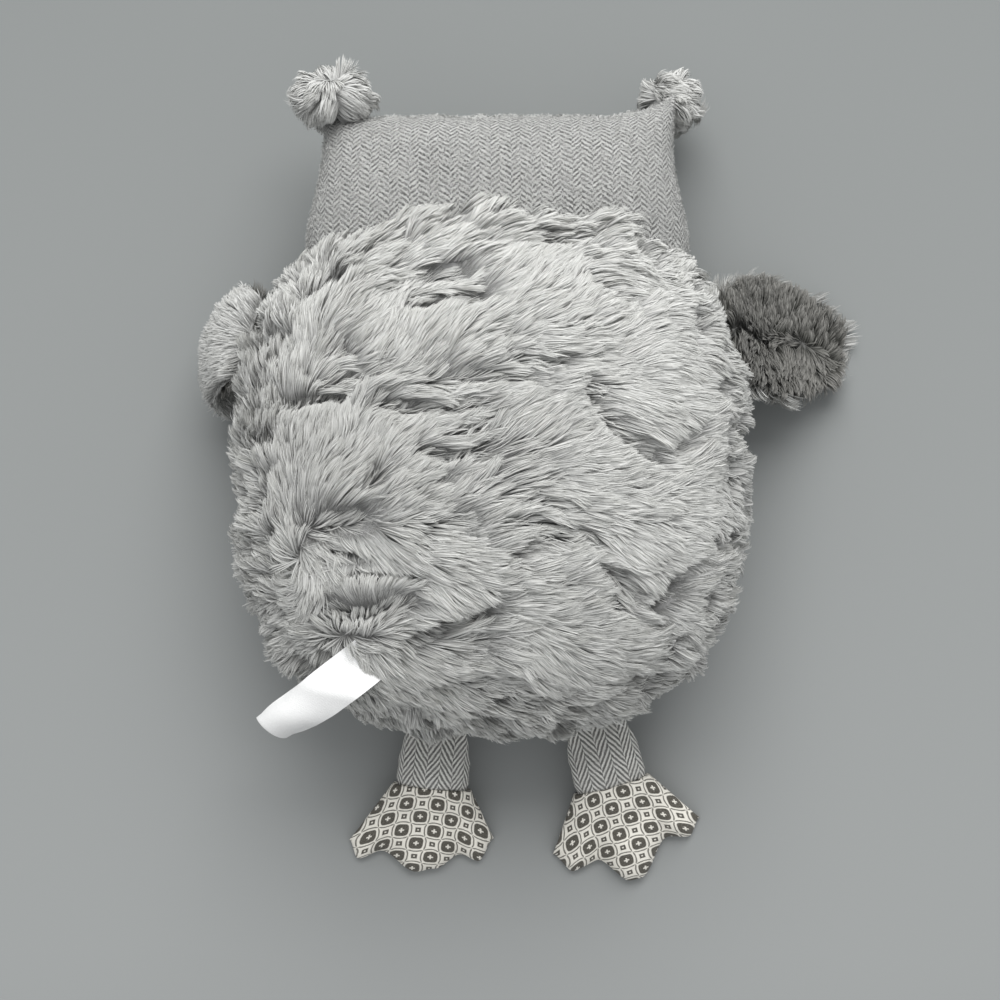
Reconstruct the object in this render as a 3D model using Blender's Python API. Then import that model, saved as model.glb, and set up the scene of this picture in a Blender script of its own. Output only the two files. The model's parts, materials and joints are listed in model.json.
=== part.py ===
"""A plush owl lying face down, in metres, with +Z up and its head towards +Y.

The origin is the middle of the flat patch on which the belly rests. The owl's back faces up,
and left and right are those of someone who looks down on the back.
"""

import math

import bmesh
import bpy
from mathutils import Matrix, Vector

# Clearances
GAP = 0.0003  # between two pieces that touch
FACE_GAP = 0.0006  # between the curved face and what is sewn on it
FLOOR_GAP = 0.0004  # under the lowest point of a wing or a foot
REST_CUT = 0.0005  # depth of the belly's flat patch
HINGE_OFFSET = 0.0011  # from a sewn seam's axis to the surface that carries it
ROOT_SETBACK = 0.0004  # how far a sewn root reaches past its axis
OVERRUN = 0.004  # how far a cutter runs past what it cuts
NUDGE_ANGLE = math.radians(0.5)  # between the two places that give a slope
CREASE_ANGLE = math.radians(50)  # a sharper edge than this stays sharp

# Body
BODY_HALF_WIDTH = 0.1430
BODY_HALF_LENGTH = 0.1485
BACK_DEPTH = 0.0800
BELLY_DEPTH = 0.0725
FUR_THICKNESS = 0.0080
CLOTH_THICKNESS = 0.0018
SEAM_HEIGHT = BELLY_DEPTH - REST_CUT
PLAN_POWER = 2.6
BACK_POWER = 2.35
BELLY_POWER = 3.0
BODY_TURNS = 36
BODY_RINGS = 8

# Folds of the back's pile
FOLD_DEPTH = 0.0058
FOLD_HALF_WIDTH = 0.0085
FOLD_STEPS = 3  # into which each face of the back is split, so that it takes the folds
FOLD_RIM_SHARES = (0.80, 0.92)  # of the way to the side seam, where the folds run out
# The places along each fold, as shares of the body's half width and half length
FOLD_SHARES = (
    ((-0.74, 0.55), (-0.64, 0.65), (-0.44, 0.73)),
    ((-0.40, 0.63), (-0.22, 0.69), (-0.03, 0.71)),
    ((-0.32, 0.53), (-0.15, 0.56), (0.0, 0.64)),
    ((-0.86, 0.44), (-0.64, 0.39), (-0.47, 0.43)),
    ((-0.75, 0.20), (-0.56, 0.22), (-0.41, 0.31)),
    ((-0.33, 0.28), (-0.11, 0.29), (0.08, 0.33)),
    ((0.08, 0.33), (0.27, 0.31), (0.43, 0.07), (0.57, -0.04)),
    ((-0.32, 0.04), (-0.17, 0.02), (0.02, 0.17)),
    ((-0.71, -0.11), (-0.55, -0.09), (-0.38, -0.02)),
    ((-0.32, -0.22), (-0.18, -0.21), (-0.03, -0.19)),
    ((-0.74, -0.29), (-0.53, -0.33), (-0.34, -0.38)),
    ((0.05, -0.35), (0.24, -0.22), (0.39, -0.37)),
    ((0.38, -0.47), (0.52, -0.54), (0.73, -0.38)),
    ((-0.63, -0.50), (-0.44, -0.50), (-0.24, -0.48)),
    ((-0.23, -0.58), (-0.06, -0.53), (0.07, -0.45)),
)

# Head
HEAD_SHIFT = 0.0030
HEAD_NECK_HALF_WIDTH = 0.1070
HEAD_TOP_HALF_WIDTH = 0.0985
HEAD_REACH = 0.0490  # of the head's top seam past the body
HEAD_TOP = BODY_HALF_LENGTH + HEAD_REACH
HEAD_HALF_LENGTH = 0.0690
HEAD_SEAM_HEIGHT = 0.0580
HEAD_BACK_DEPTH = 0.0500
HEAD_FACE_DEPTH = 0.0440
HEAD_WIDTH_POWER = 2.9
HEAD_LENGTH_POWER = 2.6
HEAD_COLUMNS = 28
HEAD_ROWS = 16
EAR_POINT_POWER = 6
EAR_DRAW_OUT = {"left": (-0.0005, -0.0030), "right": (0.0035, 0.0075)}
SIDE_DRAW_IN = 0.0030
PUCKERS = 7
PUCKER_DEPTH = 0.0022
PUCKER_POWER = 9

# Ear tufts
TUFT_RADIUS = {"left": 0.0195, "right": 0.0180}
TUFT_LEAN = {"left": (0.20, 0.55, 0.81), "right": (-0.05, 0.40, -0.91)}
TUFT_NECK_LENGTH = 0.0060
TUFT_NECK_RADIUS = 0.0030
TUFT_TURNS = 18
TUFT_RINGS = 9
TUFT_LOBES = 5
TUFT_LOBE_SHARE = 0.09

# Wings
WING_LENGTH = 0.1050
WING_HALF_WIDTH = 0.0360
WING_ROOT_HALF_WIDTH = 0.0235
WING_FUR_THICKNESS = 0.0060
WING_LINING_THICKNESS = 0.0035
WING_SEAM_THICKNESS = 0.0005
WING_CURL = 0.0070
WING_PLACE = 0.0720  # from the middle of the body towards the head, along the side seam
WING_SWEEP = {"left": math.radians(45), "right": math.radians(30)}  # towards the feet
WING_DROOP = {"left": math.radians(40), "right": math.radians(67.9)}  # down from the seam
WING_FOLD = {"left": math.radians(-105), "right": math.radians(40)}  # under, or out over the floor
WING_FOLD_SHARES = {"left": (0.05, 0.7), "right": (0.2, 0.75)}  # where along it the fold lies
WING_FOLD_STEPS = 24
WING_POWER = 2.6
WING_SIDE_SEAM_POWER = 4
WING_TIP_SEAM_POWER = 8
WING_STATIONS = 10
WING_COLUMNS = 8
WING_TIP_ANGLE = math.radians(85)
WING_SHOULDER_SHARE = 0.45
WING_SWELL_SHARE = 0.22

# Legs
HIP_PLACE = {"left": -0.0310, "right": 0.0565}
HIP_HEIGHT = 0.0340
LEG_LENGTH = 0.0410
LEG_ROOT_HALF_WIDTH = 0.0160
LEG_ROOT_HALF_THICKNESS = 0.0006
LEG_SWELL_SHARE = 0.75
ANKLE_HALF_WIDTH = 0.0232
ANKLE_HALF_THICKNESS = 0.0125
ANKLE_HEIGHT = 0.0160
LEG_POWER = 2.2
LEG_TURNS = 20
LEG_STATIONS = 8

# Feet
FOOT_HALF_WIDTH = 0.0430
MIDDLE_TOE_LENGTH = 0.0570
SIDE_TOE_LENGTH = 0.0450
SIDE_TOE_EDGE_LENGTH = 0.0330
NOTCH_LENGTH = 0.0400
FOOT_TIP_THICKNESS = 0.0016
TOE_PLACE_SHARES = (0.0, 0.47, 0.84, 1.0)
TOE_GROOVE_SHARE = 0.45
TOE_GROOVE_WIDTH_SHARE = 0.11
FOOT_THIN_SHARE = 0.8
FOOT_TIP_POWER = 3
SOLE_DROP_SHARE = 0.5
FOOT_COLUMNS = 18
FOOT_STATIONS = 8

# Face, on the side that the owl lies on
EYE_SPREAD = 0.0400
EYE_PLACE = 0.0390  # from the head's top seam
PATCH_RADIUS = 0.0265
PATCH_RINGS = 3
PATCH_TURNS = 24
FELT_THICKNESS = 0.0018
EYE_RADIUS = 0.0105
EYE_DOME_HEIGHT = 0.0058
EYE_DOME_START = math.radians(18)
EYE_DOME_RINGS = 4
EYE_FLANGE_THICKNESS = 0.0010
SHANK_RADIUS = 0.0024
SHANK_LENGTH = 0.0150
SHANK_RIDGE = 0.0003
SHANK_RIDGES = 3
WASHER_RADIUS = 0.0085
WASHER_THICKNESS = 0.0014
ROUND_TURNS = 16
SEAT_RINGS = 4
BEAK_HALF_WIDTH = 0.0110
BEAK_POINT_SHARE = 0.55
BEAK_LENGTH = 0.0320
BEAK_HEIGHT = 0.0095
BEAK_PLACE = 0.0480  # from the head's top seam to the beak's upper end
BEAK_TURNS = 20
BEAK_RINGS = 5

# Care label
LABEL_INSET = 0.0475  # from the body's lower end to the label's sewn edge
LABEL_PLACE = (-0.0640, LABEL_INSET - BODY_HALF_LENGTH)
LABEL_LENGTH = 0.0740
LABEL_WIDTH = 0.0250
LABEL_THICKNESS = 0.0008
LABEL_HEADING = math.radians(214)
LABEL_SLOPE = math.radians(-20)
LABEL_SAG = 0.0050
LABEL_STATIONS = 10
LABEL_COLUMNS = 3

SIDES = {"left": -1, "right": 1}

FINISHES = {
    "light_fur": ((0.50, 0.50, 0.48), 0.9),
    "tweed": ((0.33, 0.34, 0.33), 0.9),
    "leg_tweed": ((0.22, 0.22, 0.21), 0.9),
    "wing_lining": ((0.17, 0.17, 0.155), 0.9),
    "lattice_cloth": ((0.42, 0.40, 0.36), 0.85),
    "white_satin": ((0.80, 0.80, 0.78), 0.35),
    "cream_felt": ((0.62, 0.59, 0.53), 0.95),
    "dark_felt": ((0.12, 0.115, 0.11), 0.95),
    "black_plastic": ((0.012, 0.012, 0.012), 0.15),
    "white_plastic": ((0.75, 0.75, 0.73), 0.5),
    "fibre_filling": ((0.80, 0.80, 0.79), 0.95),
}


def finish(name):
    """The material of this name, made the first time it is asked for."""
    found = bpy.data.materials.get(name)
    if found:
        return found
    colour, roughness = FINISHES[name]
    made = bpy.data.materials.new(name)
    made.use_nodes = True
    shader = made.node_tree.nodes["Principled BSDF"]
    shader.inputs["Base Color"].default_value = (*colour, 1)
    shader.inputs["Roughness"].default_value = roughness
    shader.inputs["Metallic"].default_value = 0
    made.diffuse_color = (*colour, 1)
    return made


def add_piece(name, bm, material_name, frame=None):
    """Links the shape as an object whose origin is the frame's, with the mesh kept in place."""
    bmesh.ops.triangulate(bm, faces=[f for f in bm.faces if len(f.verts) > 4])
    bmesh.ops.recalc_face_normals(bm, faces=bm.faces)
    mesh = bpy.data.meshes.new(name)
    bm.to_mesh(mesh)
    bm.free()
    piece = bpy.data.objects.new(name, mesh)
    bpy.context.scene.collection.objects.link(piece)
    mesh.materials.append(finish(material_name))
    mesh.shade_smooth()
    mesh.set_sharp_from_angle(angle=CREASE_ANGLE)
    if frame is not None:
        mesh.transform(frame.inverted())
        piece.matrix_world = frame
    return piece


def cut(piece, cutter):
    """Takes the cutter's space out of the piece."""
    cutter.hide_render = True
    cutter.display_type = "WIRE"
    tool = piece.modifiers.new("cut", "BOOLEAN")
    tool.operation = "DIFFERENCE"
    tool.object = cutter


def blend(start, end, share):
    return start + (end - start) * share


def smooth(share):
    """A share from 0 to 1 that starts and ends level."""
    share = min(max(share, 0), 1)
    return share * share * (3 - 2 * share)


def rounded(angle, power):
    """Cosine and sine of a superellipse: a circle at a power of 2, squarer above it."""
    across, along = math.cos(angle), math.sin(angle)
    return (
        math.copysign(abs(across) ** (2 / power), across),
        math.copysign(abs(along) ** (2 / power), along),
    )


def steps(start, end, count):
    return [blend(start, end, i / count) for i in range(count + 1)]


def ring(count):
    """Angles once round, each one time."""
    return [math.tau * i / count for i in range(count)]


def add_rows(bm, rows, closed):
    """Adds a band of quads between each two rows of points, and returns the rows' vertices."""
    made = [[bm.verts.new(point) for point in row] for row in rows]
    for low, high in zip(made, made[1:]):
        join_rows(bm, low, high, closed)
    return made


def join_rows(bm, low, high, closed):
    for i in range(len(low) if closed else len(low) - 1):
        j = (i + 1) % len(low)
        bm.faces.new((low[i], low[j], high[j], high[i]))


def close_with_point(bm, row, point):
    """Closes a ring of vertices with a fan to one point."""
    tip = bm.verts.new(point)
    for i, vertex in enumerate(row):
        bm.faces.new((vertex, row[(i + 1) % len(row)], tip))


def grid_border(rows):
    """The vertices once round the edge of a grid."""
    right = [row[-1] for row in rows[1:-1]]
    left = [row[0] for row in rows[1:-1]]
    return rows[0] + right + rows[-1][::-1] + left[::-1]


def add_slab(bm, upper, lower):
    """Adds the closed solid between two grids of points of the same size."""
    top = add_rows(bm, upper, False)
    bottom = add_rows(bm, lower, False)
    join_rows(bm, grid_border(top), grid_border(bottom), True)


def turned(bm, profile, turns, frame):
    """Adds a solid turned about the frame's Z from (radius, height) points; its ends lie on Z."""
    rows = [
        [frame @ Vector((r * math.cos(a), r * math.sin(a), h)) for a in ring(turns)]
        for r, h in profile[1:-1]
    ]
    made = add_rows(bm, rows, True)
    close_with_point(bm, made[0], frame @ Vector((0, 0, profile[0][1])))
    close_with_point(bm, made[-1], frame @ Vector((0, 0, profile[-1][1])))


def frame_at(origin, x_axis, z_hint):
    """A frame with this X axis, its Z as near as it can be to the hint."""
    x_axis = x_axis.normalized()
    y_axis = z_hint.cross(x_axis).normalized()
    z_axis = x_axis.cross(y_axis)
    turn = Matrix((x_axis, y_axis, z_axis)).transposed().to_4x4()
    return Matrix.Translation(origin) @ turn


# Body


def body_point(turn, rise, inset=0, lift=0):
    """A point of the body's surface, or of one that lies this far inside it."""
    across, along = rounded(turn, PLAN_POWER)
    up = rise >= 0
    reach, height = rounded(rise, BACK_POWER if up else BELLY_POWER)
    depth = (BACK_DEPTH if up else BELLY_DEPTH) - inset
    return Vector(
        (
            (BODY_HALF_WIDTH - inset) * across * reach,
            (BODY_HALF_LENGTH - inset) * along * reach,
            SEAM_HEIGHT + depth * height + lift,
        )
    )


def body_normal(turn, rise):
    """The body's outward direction there."""
    round_it = body_point(turn + NUDGE_ANGLE, rise) - body_point(turn - NUDGE_ANGLE, rise)
    up_it = body_point(turn, rise + NUDGE_ANGLE) - body_point(turn, rise - NUDGE_ANGLE)
    return round_it.cross(up_it).normalized()


def body_rows(bm, top, inset, lift=0):
    """Adds the upper or lower half of a body surface, and returns its rim's vertices."""
    way = 1 if top else -1
    rises = steps(0, way * math.pi / 2, BODY_RINGS)
    rows = [[body_point(a, rise, inset, lift) for a in ring(BODY_TURNS)] for rise in rises[:-1]]
    made = add_rows(bm, rows, True)
    close_with_point(bm, made[-1], body_point(0, rises[-1], inset, lift))
    return made[0]


def rest_flat(bm):
    """Cuts a shape off where it would reach below the floor."""
    everything = bm.verts[:] + bm.edges[:] + bm.faces[:]
    cut_off = bmesh.ops.bisect_plane(
        bm, geom=everything, plane_co=(0, 0, 0), plane_no=(0, 0, -1), clear_outer=True
    )
    rim = [e for e in cut_off["geom_cut"] if isinstance(e, bmesh.types.BMEdge)]
    bmesh.ops.contextual_create(bm, geom=rim)


def plan_reach(x, y):
    """How far out from the body's middle a place lies: 1 is on the side seam."""
    shares = (abs(x / BODY_HALF_WIDTH), abs(y / BODY_HALF_LENGTH))
    return sum(share**PLAN_POWER for share in shares) ** (1 / PLAN_POWER)


def distance_to_segment(place, start, end):
    run = end - start
    share = min(max((place - start).dot(run) / run.length_squared, 0), 1)
    return (place - start - run * share).length


def fold_depth(x, y):
    """How far the nearest fold of the pile sinks the back here."""
    size = Vector((BODY_HALF_WIDTH, BODY_HALF_LENGTH))
    nearest = min(
        distance_to_segment(Vector((x, y)), Vector(start) * size, Vector(end) * size)
        for fold in FOLD_SHARES
        for start, end in zip(fold, fold[1:])
    )
    inner, outer = FOLD_RIM_SHARES
    fade = 1 - smooth((plan_reach(x, y) - inner) / (outer - inner))
    return FOLD_DEPTH * fade * math.exp(-((nearest / FOLD_HALF_WIDTH) ** 2))


def fold_back(bm):
    """Splits the faces inside the rim, sinks the folds into them and returns the rim's vertices."""

    def turn(vertex):
        return (math.atan2(vertex.co.y, vertex.co.x) + NUDGE_ANGLE) % math.tau

    inside = {v for v in bm.verts if plan_reach(v.co.x, v.co.y) < FOLD_RIM_SHARES[1]}
    edges = [e for e in bm.edges if inside.issuperset(e.verts)]
    bmesh.ops.subdivide_edges(bm, edges=edges, cuts=FOLD_STEPS - 1, use_grid_fill=True)
    for vertex in bm.verts:
        vertex.co.z -= fold_depth(vertex.co.x, vertex.co.y)
    return sorted((v for v in bm.verts if v.is_boundary), key=turn)


def add_body_panel(name, top, thickness, material_name):
    """One sewn panel, open at the side seam, where it meets the other face to face."""
    bm = bmesh.new()
    lift = GAP / 2 if top else -GAP / 2
    outer = body_rows(bm, top, 0, lift)
    if top:
        outer = fold_back(bm)
    inner = body_rows(bm, top, thickness, lift)
    join_rows(bm, outer, inner, True)
    if not top:
        rest_flat(bm)
    return add_piece(name, bm, material_name)


def add_body_filling():
    bm = bmesh.new()
    upper = body_rows(bm, True, FUR_THICKNESS + GAP)
    lower = body_rows(bm, False, CLOTH_THICKNESS + GAP)
    join_rows(bm, upper, lower, True)
    return add_piece("body_filling", bm, "fibre_filling")


def add_body_cutter():
    """The body's space and the clearance round it, for what is sewn against it."""
    bm = bmesh.new()
    upper = body_rows(bm, True, -GAP)
    lower = body_rows(bm, False, -GAP)
    bmesh.ops.remove_doubles(bm, verts=upper + lower, dist=GAP / 10)
    return add_piece("body_space", bm, "light_fur")


# Head


def head_half_width(v):
    """Half the head's width at v, which runs from -1 at the neck to 1 at the top seam."""
    straight = blend(HEAD_NECK_HALF_WIDTH, HEAD_TOP_HALF_WIDTH, smooth(v))
    return straight - SIDE_DRAW_IN * math.sin(math.pi * min(max(v, 0), 1))


def head_middle():
    return HEAD_TOP - HEAD_HALF_LENGTH


def head_point(u_angle, v_angle, side, inset=0, lift=0):
    """A point of the head's surface: side is 1 on its back and -1 on its face."""
    u, thin_u = rounded(u_angle, HEAD_WIDTH_POWER)[::-1]
    v, thin_v = rounded(v_angle, HEAD_LENGTH_POWER)[::-1]
    draw = EAR_DRAW_OUT["right" if u > 0 else "left"]
    corner = (abs(u) * max(v, 0)) ** EAR_POINT_POWER
    pucker = max(v, 0) ** PUCKER_POWER * math.cos(math.pi * PUCKERS * u) ** 2
    x = HEAD_SHIFT + u * (head_half_width(v) - inset) + math.copysign(draw[0], u) * corner
    y = head_middle() + v * (HEAD_HALF_LENGTH - inset) + draw[1] * corner
    depth = HEAD_BACK_DEPTH if side > 0 else HEAD_FACE_DEPTH
    height = (depth - inset) * thin_u * thin_v
    if inset == 0:
        y -= PUCKER_DEPTH * pucker * (1 - corner) * (1 - thin_v)
        height -= PUCKER_DEPTH * pucker * thin_v * thin_u
    return Vector((x, y, HEAD_SEAM_HEIGHT + side * height + lift))


def head_grid(side, inset, lift=0):
    half = math.pi / 2
    return [
        [head_point(u, v, side, inset, lift) for u in steps(-half, half, HEAD_COLUMNS)]
        for v in steps(-half, half, HEAD_ROWS)
    ]


def add_head_panel(name, side):
    """One sewn panel, open at the seam round the head and, once cut, at the neck."""
    bm = bmesh.new()
    lift = side * GAP / 2
    add_slab(bm, head_grid(side, 0, lift), head_grid(side, CLOTH_THICKNESS, lift))
    return add_piece(name, bm, "tweed")


def add_head_filling():
    bm = bmesh.new()
    inset = CLOTH_THICKNESS + GAP
    back = add_rows(bm, head_grid(1, inset), False)
    face = add_rows(bm, head_grid(-1, inset), False)
    border = grid_border(back) + grid_border(face)
    bmesh.ops.remove_doubles(bm, verts=border, dist=GAP / 10)
    return add_piece("head_filling", bm, "fibre_filling")


def ear_point(side):
    """The tip of the head's drawn-out corner."""
    half = math.pi / 2
    return head_point(SIDES[side] * half, half, 1)


def face_height(x, y, inset=0):
    """How high the face's surface, or one this far inside it, lies over the floor."""
    v = (y - head_middle()) / (HEAD_HALF_LENGTH - inset)
    u = (x - HEAD_SHIFT) / (head_half_width(v) - inset)
    thin_u = (1 - abs(u) ** HEAD_WIDTH_POWER) ** (1 / HEAD_WIDTH_POWER)
    thin_v = (1 - abs(v) ** HEAD_LENGTH_POWER) ** (1 / HEAD_LENGTH_POWER)
    return HEAD_SEAM_HEIGHT - (HEAD_FACE_DEPTH - inset) * thin_u * thin_v


def face_point(x, y, out):
    """The point this far outside the face, straight below or above its surface."""
    return Vector((x, y, face_height(x, y) - out))


def face_normal(x, y):
    nudge = GAP
    along_x = face_point(x + nudge, y, 0) - face_point(x - nudge, y, 0)
    along_y = face_point(x, y + nudge, 0) - face_point(x, y - nudge, 0)
    return along_y.cross(along_x).normalized()


# Ear tufts


def tuft_frame(side):
    """The tuft's frame: its origin is the point about which it flops, its Z points out of it."""
    lean = Vector(TUFT_LEAN[side]).normalized()
    origin = ear_point(side) + lean * HINGE_OFFSET
    return frame_at(origin, Vector((0, 0, 1)).cross(lean), lean)


def add_ear_tuft(side):
    """A fur ball on a gathered neck, with soft lobes."""
    frame = tuft_frame(side)
    radius = TUFT_RADIUS[side]
    middle = TUFT_NECK_LENGTH + radius
    neck_angle = math.asin(TUFT_NECK_RADIUS / radius)
    bm = bmesh.new()
    root = [(ROOT_SETBACK, -ROOT_SETBACK), (TUFT_NECK_RADIUS, TUFT_NECK_LENGTH / 2)]
    rows = [
        [frame @ Vector((r * math.cos(a), r * math.sin(a), h)) for a in ring(TUFT_TURNS)]
        for r, h in root
    ]
    for fall in steps(math.pi - neck_angle, 0, TUFT_RINGS)[:-1]:
        row = []
        for a in ring(TUFT_TURNS):
            wave = math.sin(TUFT_LOBES * a + 2 * math.cos(fall)) * math.sin(fall) ** 2
            reach = radius * (1 - TUFT_LOBE_SHARE * (1 + wave) * math.sin(fall))
            across = reach * math.sin(fall)
            height = middle + reach * math.cos(fall)
            row.append(frame @ Vector((across * math.cos(a), across * math.sin(a), height)))
        rows.append(row)
    made = add_rows(bm, rows, True)
    close_with_point(bm, made[0], frame @ Vector((0, 0, -ROOT_SETBACK)))
    close_with_point(bm, made[-1], frame @ Vector((0, 0, middle + radius)))
    return add_piece(f"ear_tuft_{side}", bm, "light_fur", frame)


# Wings


def side_turn(place):
    """The turn on the right side seam that lies this far towards the head."""
    return math.asin((place / BODY_HALF_LENGTH) ** (PLAN_POWER / 2))


def wing_root(side):
    """The wing seam's middle and its direction out of the body."""
    turn = side_turn(WING_PLACE)
    if side == "left":
        turn = math.pi - turn
    outward = body_normal(turn, 0)
    outward.z = 0
    outward.normalize()
    return body_point(turn, 0) + outward * HINGE_OFFSET, outward


def wing_flat(side, station, q):
    """A place on the wing laid flat: how far out from its seam, and how far across."""
    along_share = math.sin(station)
    width = math.cos(station) ** (2 / WING_POWER)
    shoulder = smooth(along_share / WING_SHOULDER_SHARE)
    narrow = blend(WING_ROOT_HALF_WIDTH / WING_HALF_WIDTH, 1, shoulder)
    across = q * WING_HALF_WIDTH * width * narrow
    half_turn = WING_SWEEP[side] * along_share / 2
    chord = math.sin(half_turn) / half_turn if half_turn else 1
    reach = blend(-ROOT_SETBACK, WING_LENGTH, along_share) * chord
    out = reach * math.cos(half_turn) + across * math.sin(2 * half_turn)
    return out, across * math.cos(2 * half_turn) - reach * math.sin(half_turn)


def wing_fold(side, share):
    """How far the wing has turned at this share of its length."""
    start, end = WING_FOLD_SHARES[side]
    return WING_FOLD[side] * smooth((share - start) / (end - start))


def wing_local(side, station, q, height):
    """A point of the wing in its own frame: X out of the seam, Y across, Z out of its top."""
    out, across = wing_flat(side, station, q)
    point = Vector((0, across, 0))
    step = out / WING_FOLD_STEPS
    for i in range(WING_FOLD_STEPS):
        fold = wing_fold(side, (i + 1 / 2) * step / WING_LENGTH)
        point += Vector((step * math.cos(fold), 0, step * math.sin(fold)))
    fold = wing_fold(side, out / WING_LENGTH)
    return point + height * Vector((-math.sin(fold), 0, math.cos(fold)))


def wing_thickness(full, station, q):
    """Full in the middle of the wing, thin at its seams."""
    along_share = math.sin(station)
    edge = (1 - abs(q) ** WING_SIDE_SEAM_POWER) * (1 - along_share**WING_TIP_SEAM_POWER)
    return blend(WING_SEAM_THICKNESS, full, edge * smooth(along_share / WING_SWELL_SHARE))


def wing_grid(side, thickness, offset, up):
    """One face of a wing's layer, offset from the seam surface towards its upper side or down."""
    curl = WING_CURL * (1 if side == "right" else -1)
    rows = []
    for station in steps(0, WING_TIP_ANGLE, WING_STATIONS):
        row = []
        for q in steps(-1, 1, WING_COLUMNS):
            middle = curl * q * q * smooth(math.sin(station) / WING_SHOULDER_SHARE)
            out = offset + (wing_thickness(thickness, station, q) if thickness else 0)
            row.append(wing_local(side, station, q, middle + up * out))
        rows.append(row)
    return rows


def wing_layer(side, thickness, up):
    """The two grids of points between which a layer lies, above or below the seam surface."""
    near = wing_grid(side, 0, GAP / 2, up)
    far = wing_grid(side, thickness, GAP / 2, up)
    return near, far


def wing_frame(side):
    """The wing's frame, hanging down from its seam."""
    origin, outward = wing_root(side)
    droop = WING_DROOP[side]
    down = outward * math.cos(droop) - Vector((0, 0, math.sin(droop)))
    frame = frame_at(origin, down, Vector((0, 0, 1)))
    if side == "left":
        flip = Matrix.Diagonal((1, -1, 1, 1))
        return frame @ flip
    return frame


def add_wing(side):
    """Two sewn layers: the right wing shows its lining on top, the left one its fur."""
    lining_up = 1 if side == "right" else -1
    lining = wing_layer(side, WING_LINING_THICKNESS, lining_up)
    fur = wing_layer(side, WING_FUR_THICKNESS, -lining_up)
    frame = wing_frame(side)
    pivot = Matrix.Translation(frame.translation)
    for name, layer, material_name in (
        (f"wing_{side}_lining", lining, "wing_lining"),
        (f"wing_{side}_fur", fur, "light_fur"),
    ):
        bm = bmesh.new()
        near, far = [[[frame @ p for p in row] for row in grid] for grid in layer]
        add_slab(bm, near, far)
        add_piece(name, bm, material_name, pivot)


# Legs and feet


def hip_spot(side):
    """The turn and rise of the body's surface where the leg is sewn on."""
    drop = (SEAM_HEIGHT - HIP_HEIGHT) / BELLY_DEPTH
    rise = -math.asin(drop ** (BELLY_POWER / 2))
    reach = rounded(rise, BELLY_POWER)[0]
    place = HIP_PLACE[side] / (BODY_HALF_WIDTH * reach)
    turn = math.acos(abs(place) ** (PLAN_POWER / 2))
    return (-turn if place > 0 else turn - math.pi), rise


def leg_frame(side):
    """Origin on the hip's axis, X along the leg on the floor, Z up."""
    turn, rise = hip_spot(side)
    normal = body_normal(turn, rise)
    outward = Vector((normal.x, normal.y, 0))
    return frame_at(body_point(turn, rise) + normal * HINGE_OFFSET, outward, Vector((0, 0, 1)))


def leg_section(frame, along, half_width, half_thickness, height):
    """A ring of points in an upright plane across the leg, at this height over the floor."""
    row = []
    for a in ring(LEG_TURNS):
        across, up = rounded(a, LEG_POWER)
        point = frame @ Vector((along, half_width * across, 0))
        point.z = height + half_thickness * up
        row.append(point)
    return row


def add_leg(side):
    """A stuffed tube, pinched flat at the hip seam."""
    frame = leg_frame(side)
    rows = []
    for share in steps(0, 1, LEG_STATIONS):
        swell = smooth(share / LEG_SWELL_SHARE)
        rows.append(
            leg_section(
                frame,
                blend(-ROOT_SETBACK, LEG_LENGTH, share),
                blend(LEG_ROOT_HALF_WIDTH, ANKLE_HALF_WIDTH, share),
                blend(LEG_ROOT_HALF_THICKNESS, ANKLE_HALF_THICKNESS, swell),
                blend(frame.translation.z, ANKLE_HEIGHT, share),
            )
        )
    bm = bmesh.new()
    made = add_rows(bm, rows, True)
    bm.faces.new(made[0])
    bm.faces.new(made[-1])
    return add_piece(f"leg_{side}", bm, "leg_tweed", Matrix.Translation(frame.translation))


def toe_reach(q):
    """How far the foot reaches past the ankle at a share q of its half width."""
    lengths = (MIDDLE_TOE_LENGTH, NOTCH_LENGTH, SIDE_TOE_LENGTH, SIDE_TOE_EDGE_LENGTH)
    places = TOE_PLACE_SHARES
    for i in range(len(places) - 1):
        if abs(q) <= places[i + 1]:
            share = (abs(q) - places[i]) / (places[i + 1] - places[i])
            return blend(lengths[i], lengths[i + 1], smooth(share))
    return lengths[-1]


def foot_half_thickness(share, q):
    """Half the foot's thickness: round across, grooved between its toes."""
    body = ANKLE_HALF_THICKNESS * (1 - share**FOOT_TIP_POWER) ** (1 / LEG_POWER)
    body *= blend(1, FOOT_THIN_SHARE, smooth(share))
    across = max(1 - abs(q) ** LEG_POWER, 0) ** (1 / LEG_POWER)
    groove = math.exp(-(((abs(q) - TOE_PLACE_SHARES[1]) / TOE_GROOVE_WIDTH_SHARE) ** 2))
    body *= 1 - TOE_GROOVE_SHARE * groove * share**2
    return max(body * across, FOOT_TIP_THICKNESS / 2 * (1 if share > 0 else 0))


def foot_grid(frame, up):
    """The foot's upper or lower face."""
    rows = []
    for share in steps(0, 1, FOOT_STATIONS):
        row = []
        half_width = blend(ANKLE_HALF_WIDTH, FOOT_HALF_WIDTH, share)
        for angle in steps(math.pi, 0, FOOT_COLUMNS):
            q = rounded(angle, LEG_POWER)[0]
            half_thickness = foot_half_thickness(share, q)
            tallest = max(foot_half_thickness(share, 0), FOOT_TIP_THICKNESS / 2)
            dropped = smooth(share / SOLE_DROP_SHARE)
            sole = blend(ANKLE_HEIGHT - ANKLE_HALF_THICKNESS, FLOOR_GAP, dropped)
            along = LEG_LENGTH + GAP + share * toe_reach(q)
            point = frame @ Vector((along, half_width * q, 0))
            point.z = sole + tallest + up * half_thickness
            row.append(point)
        rows.append(row)
    return rows


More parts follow.
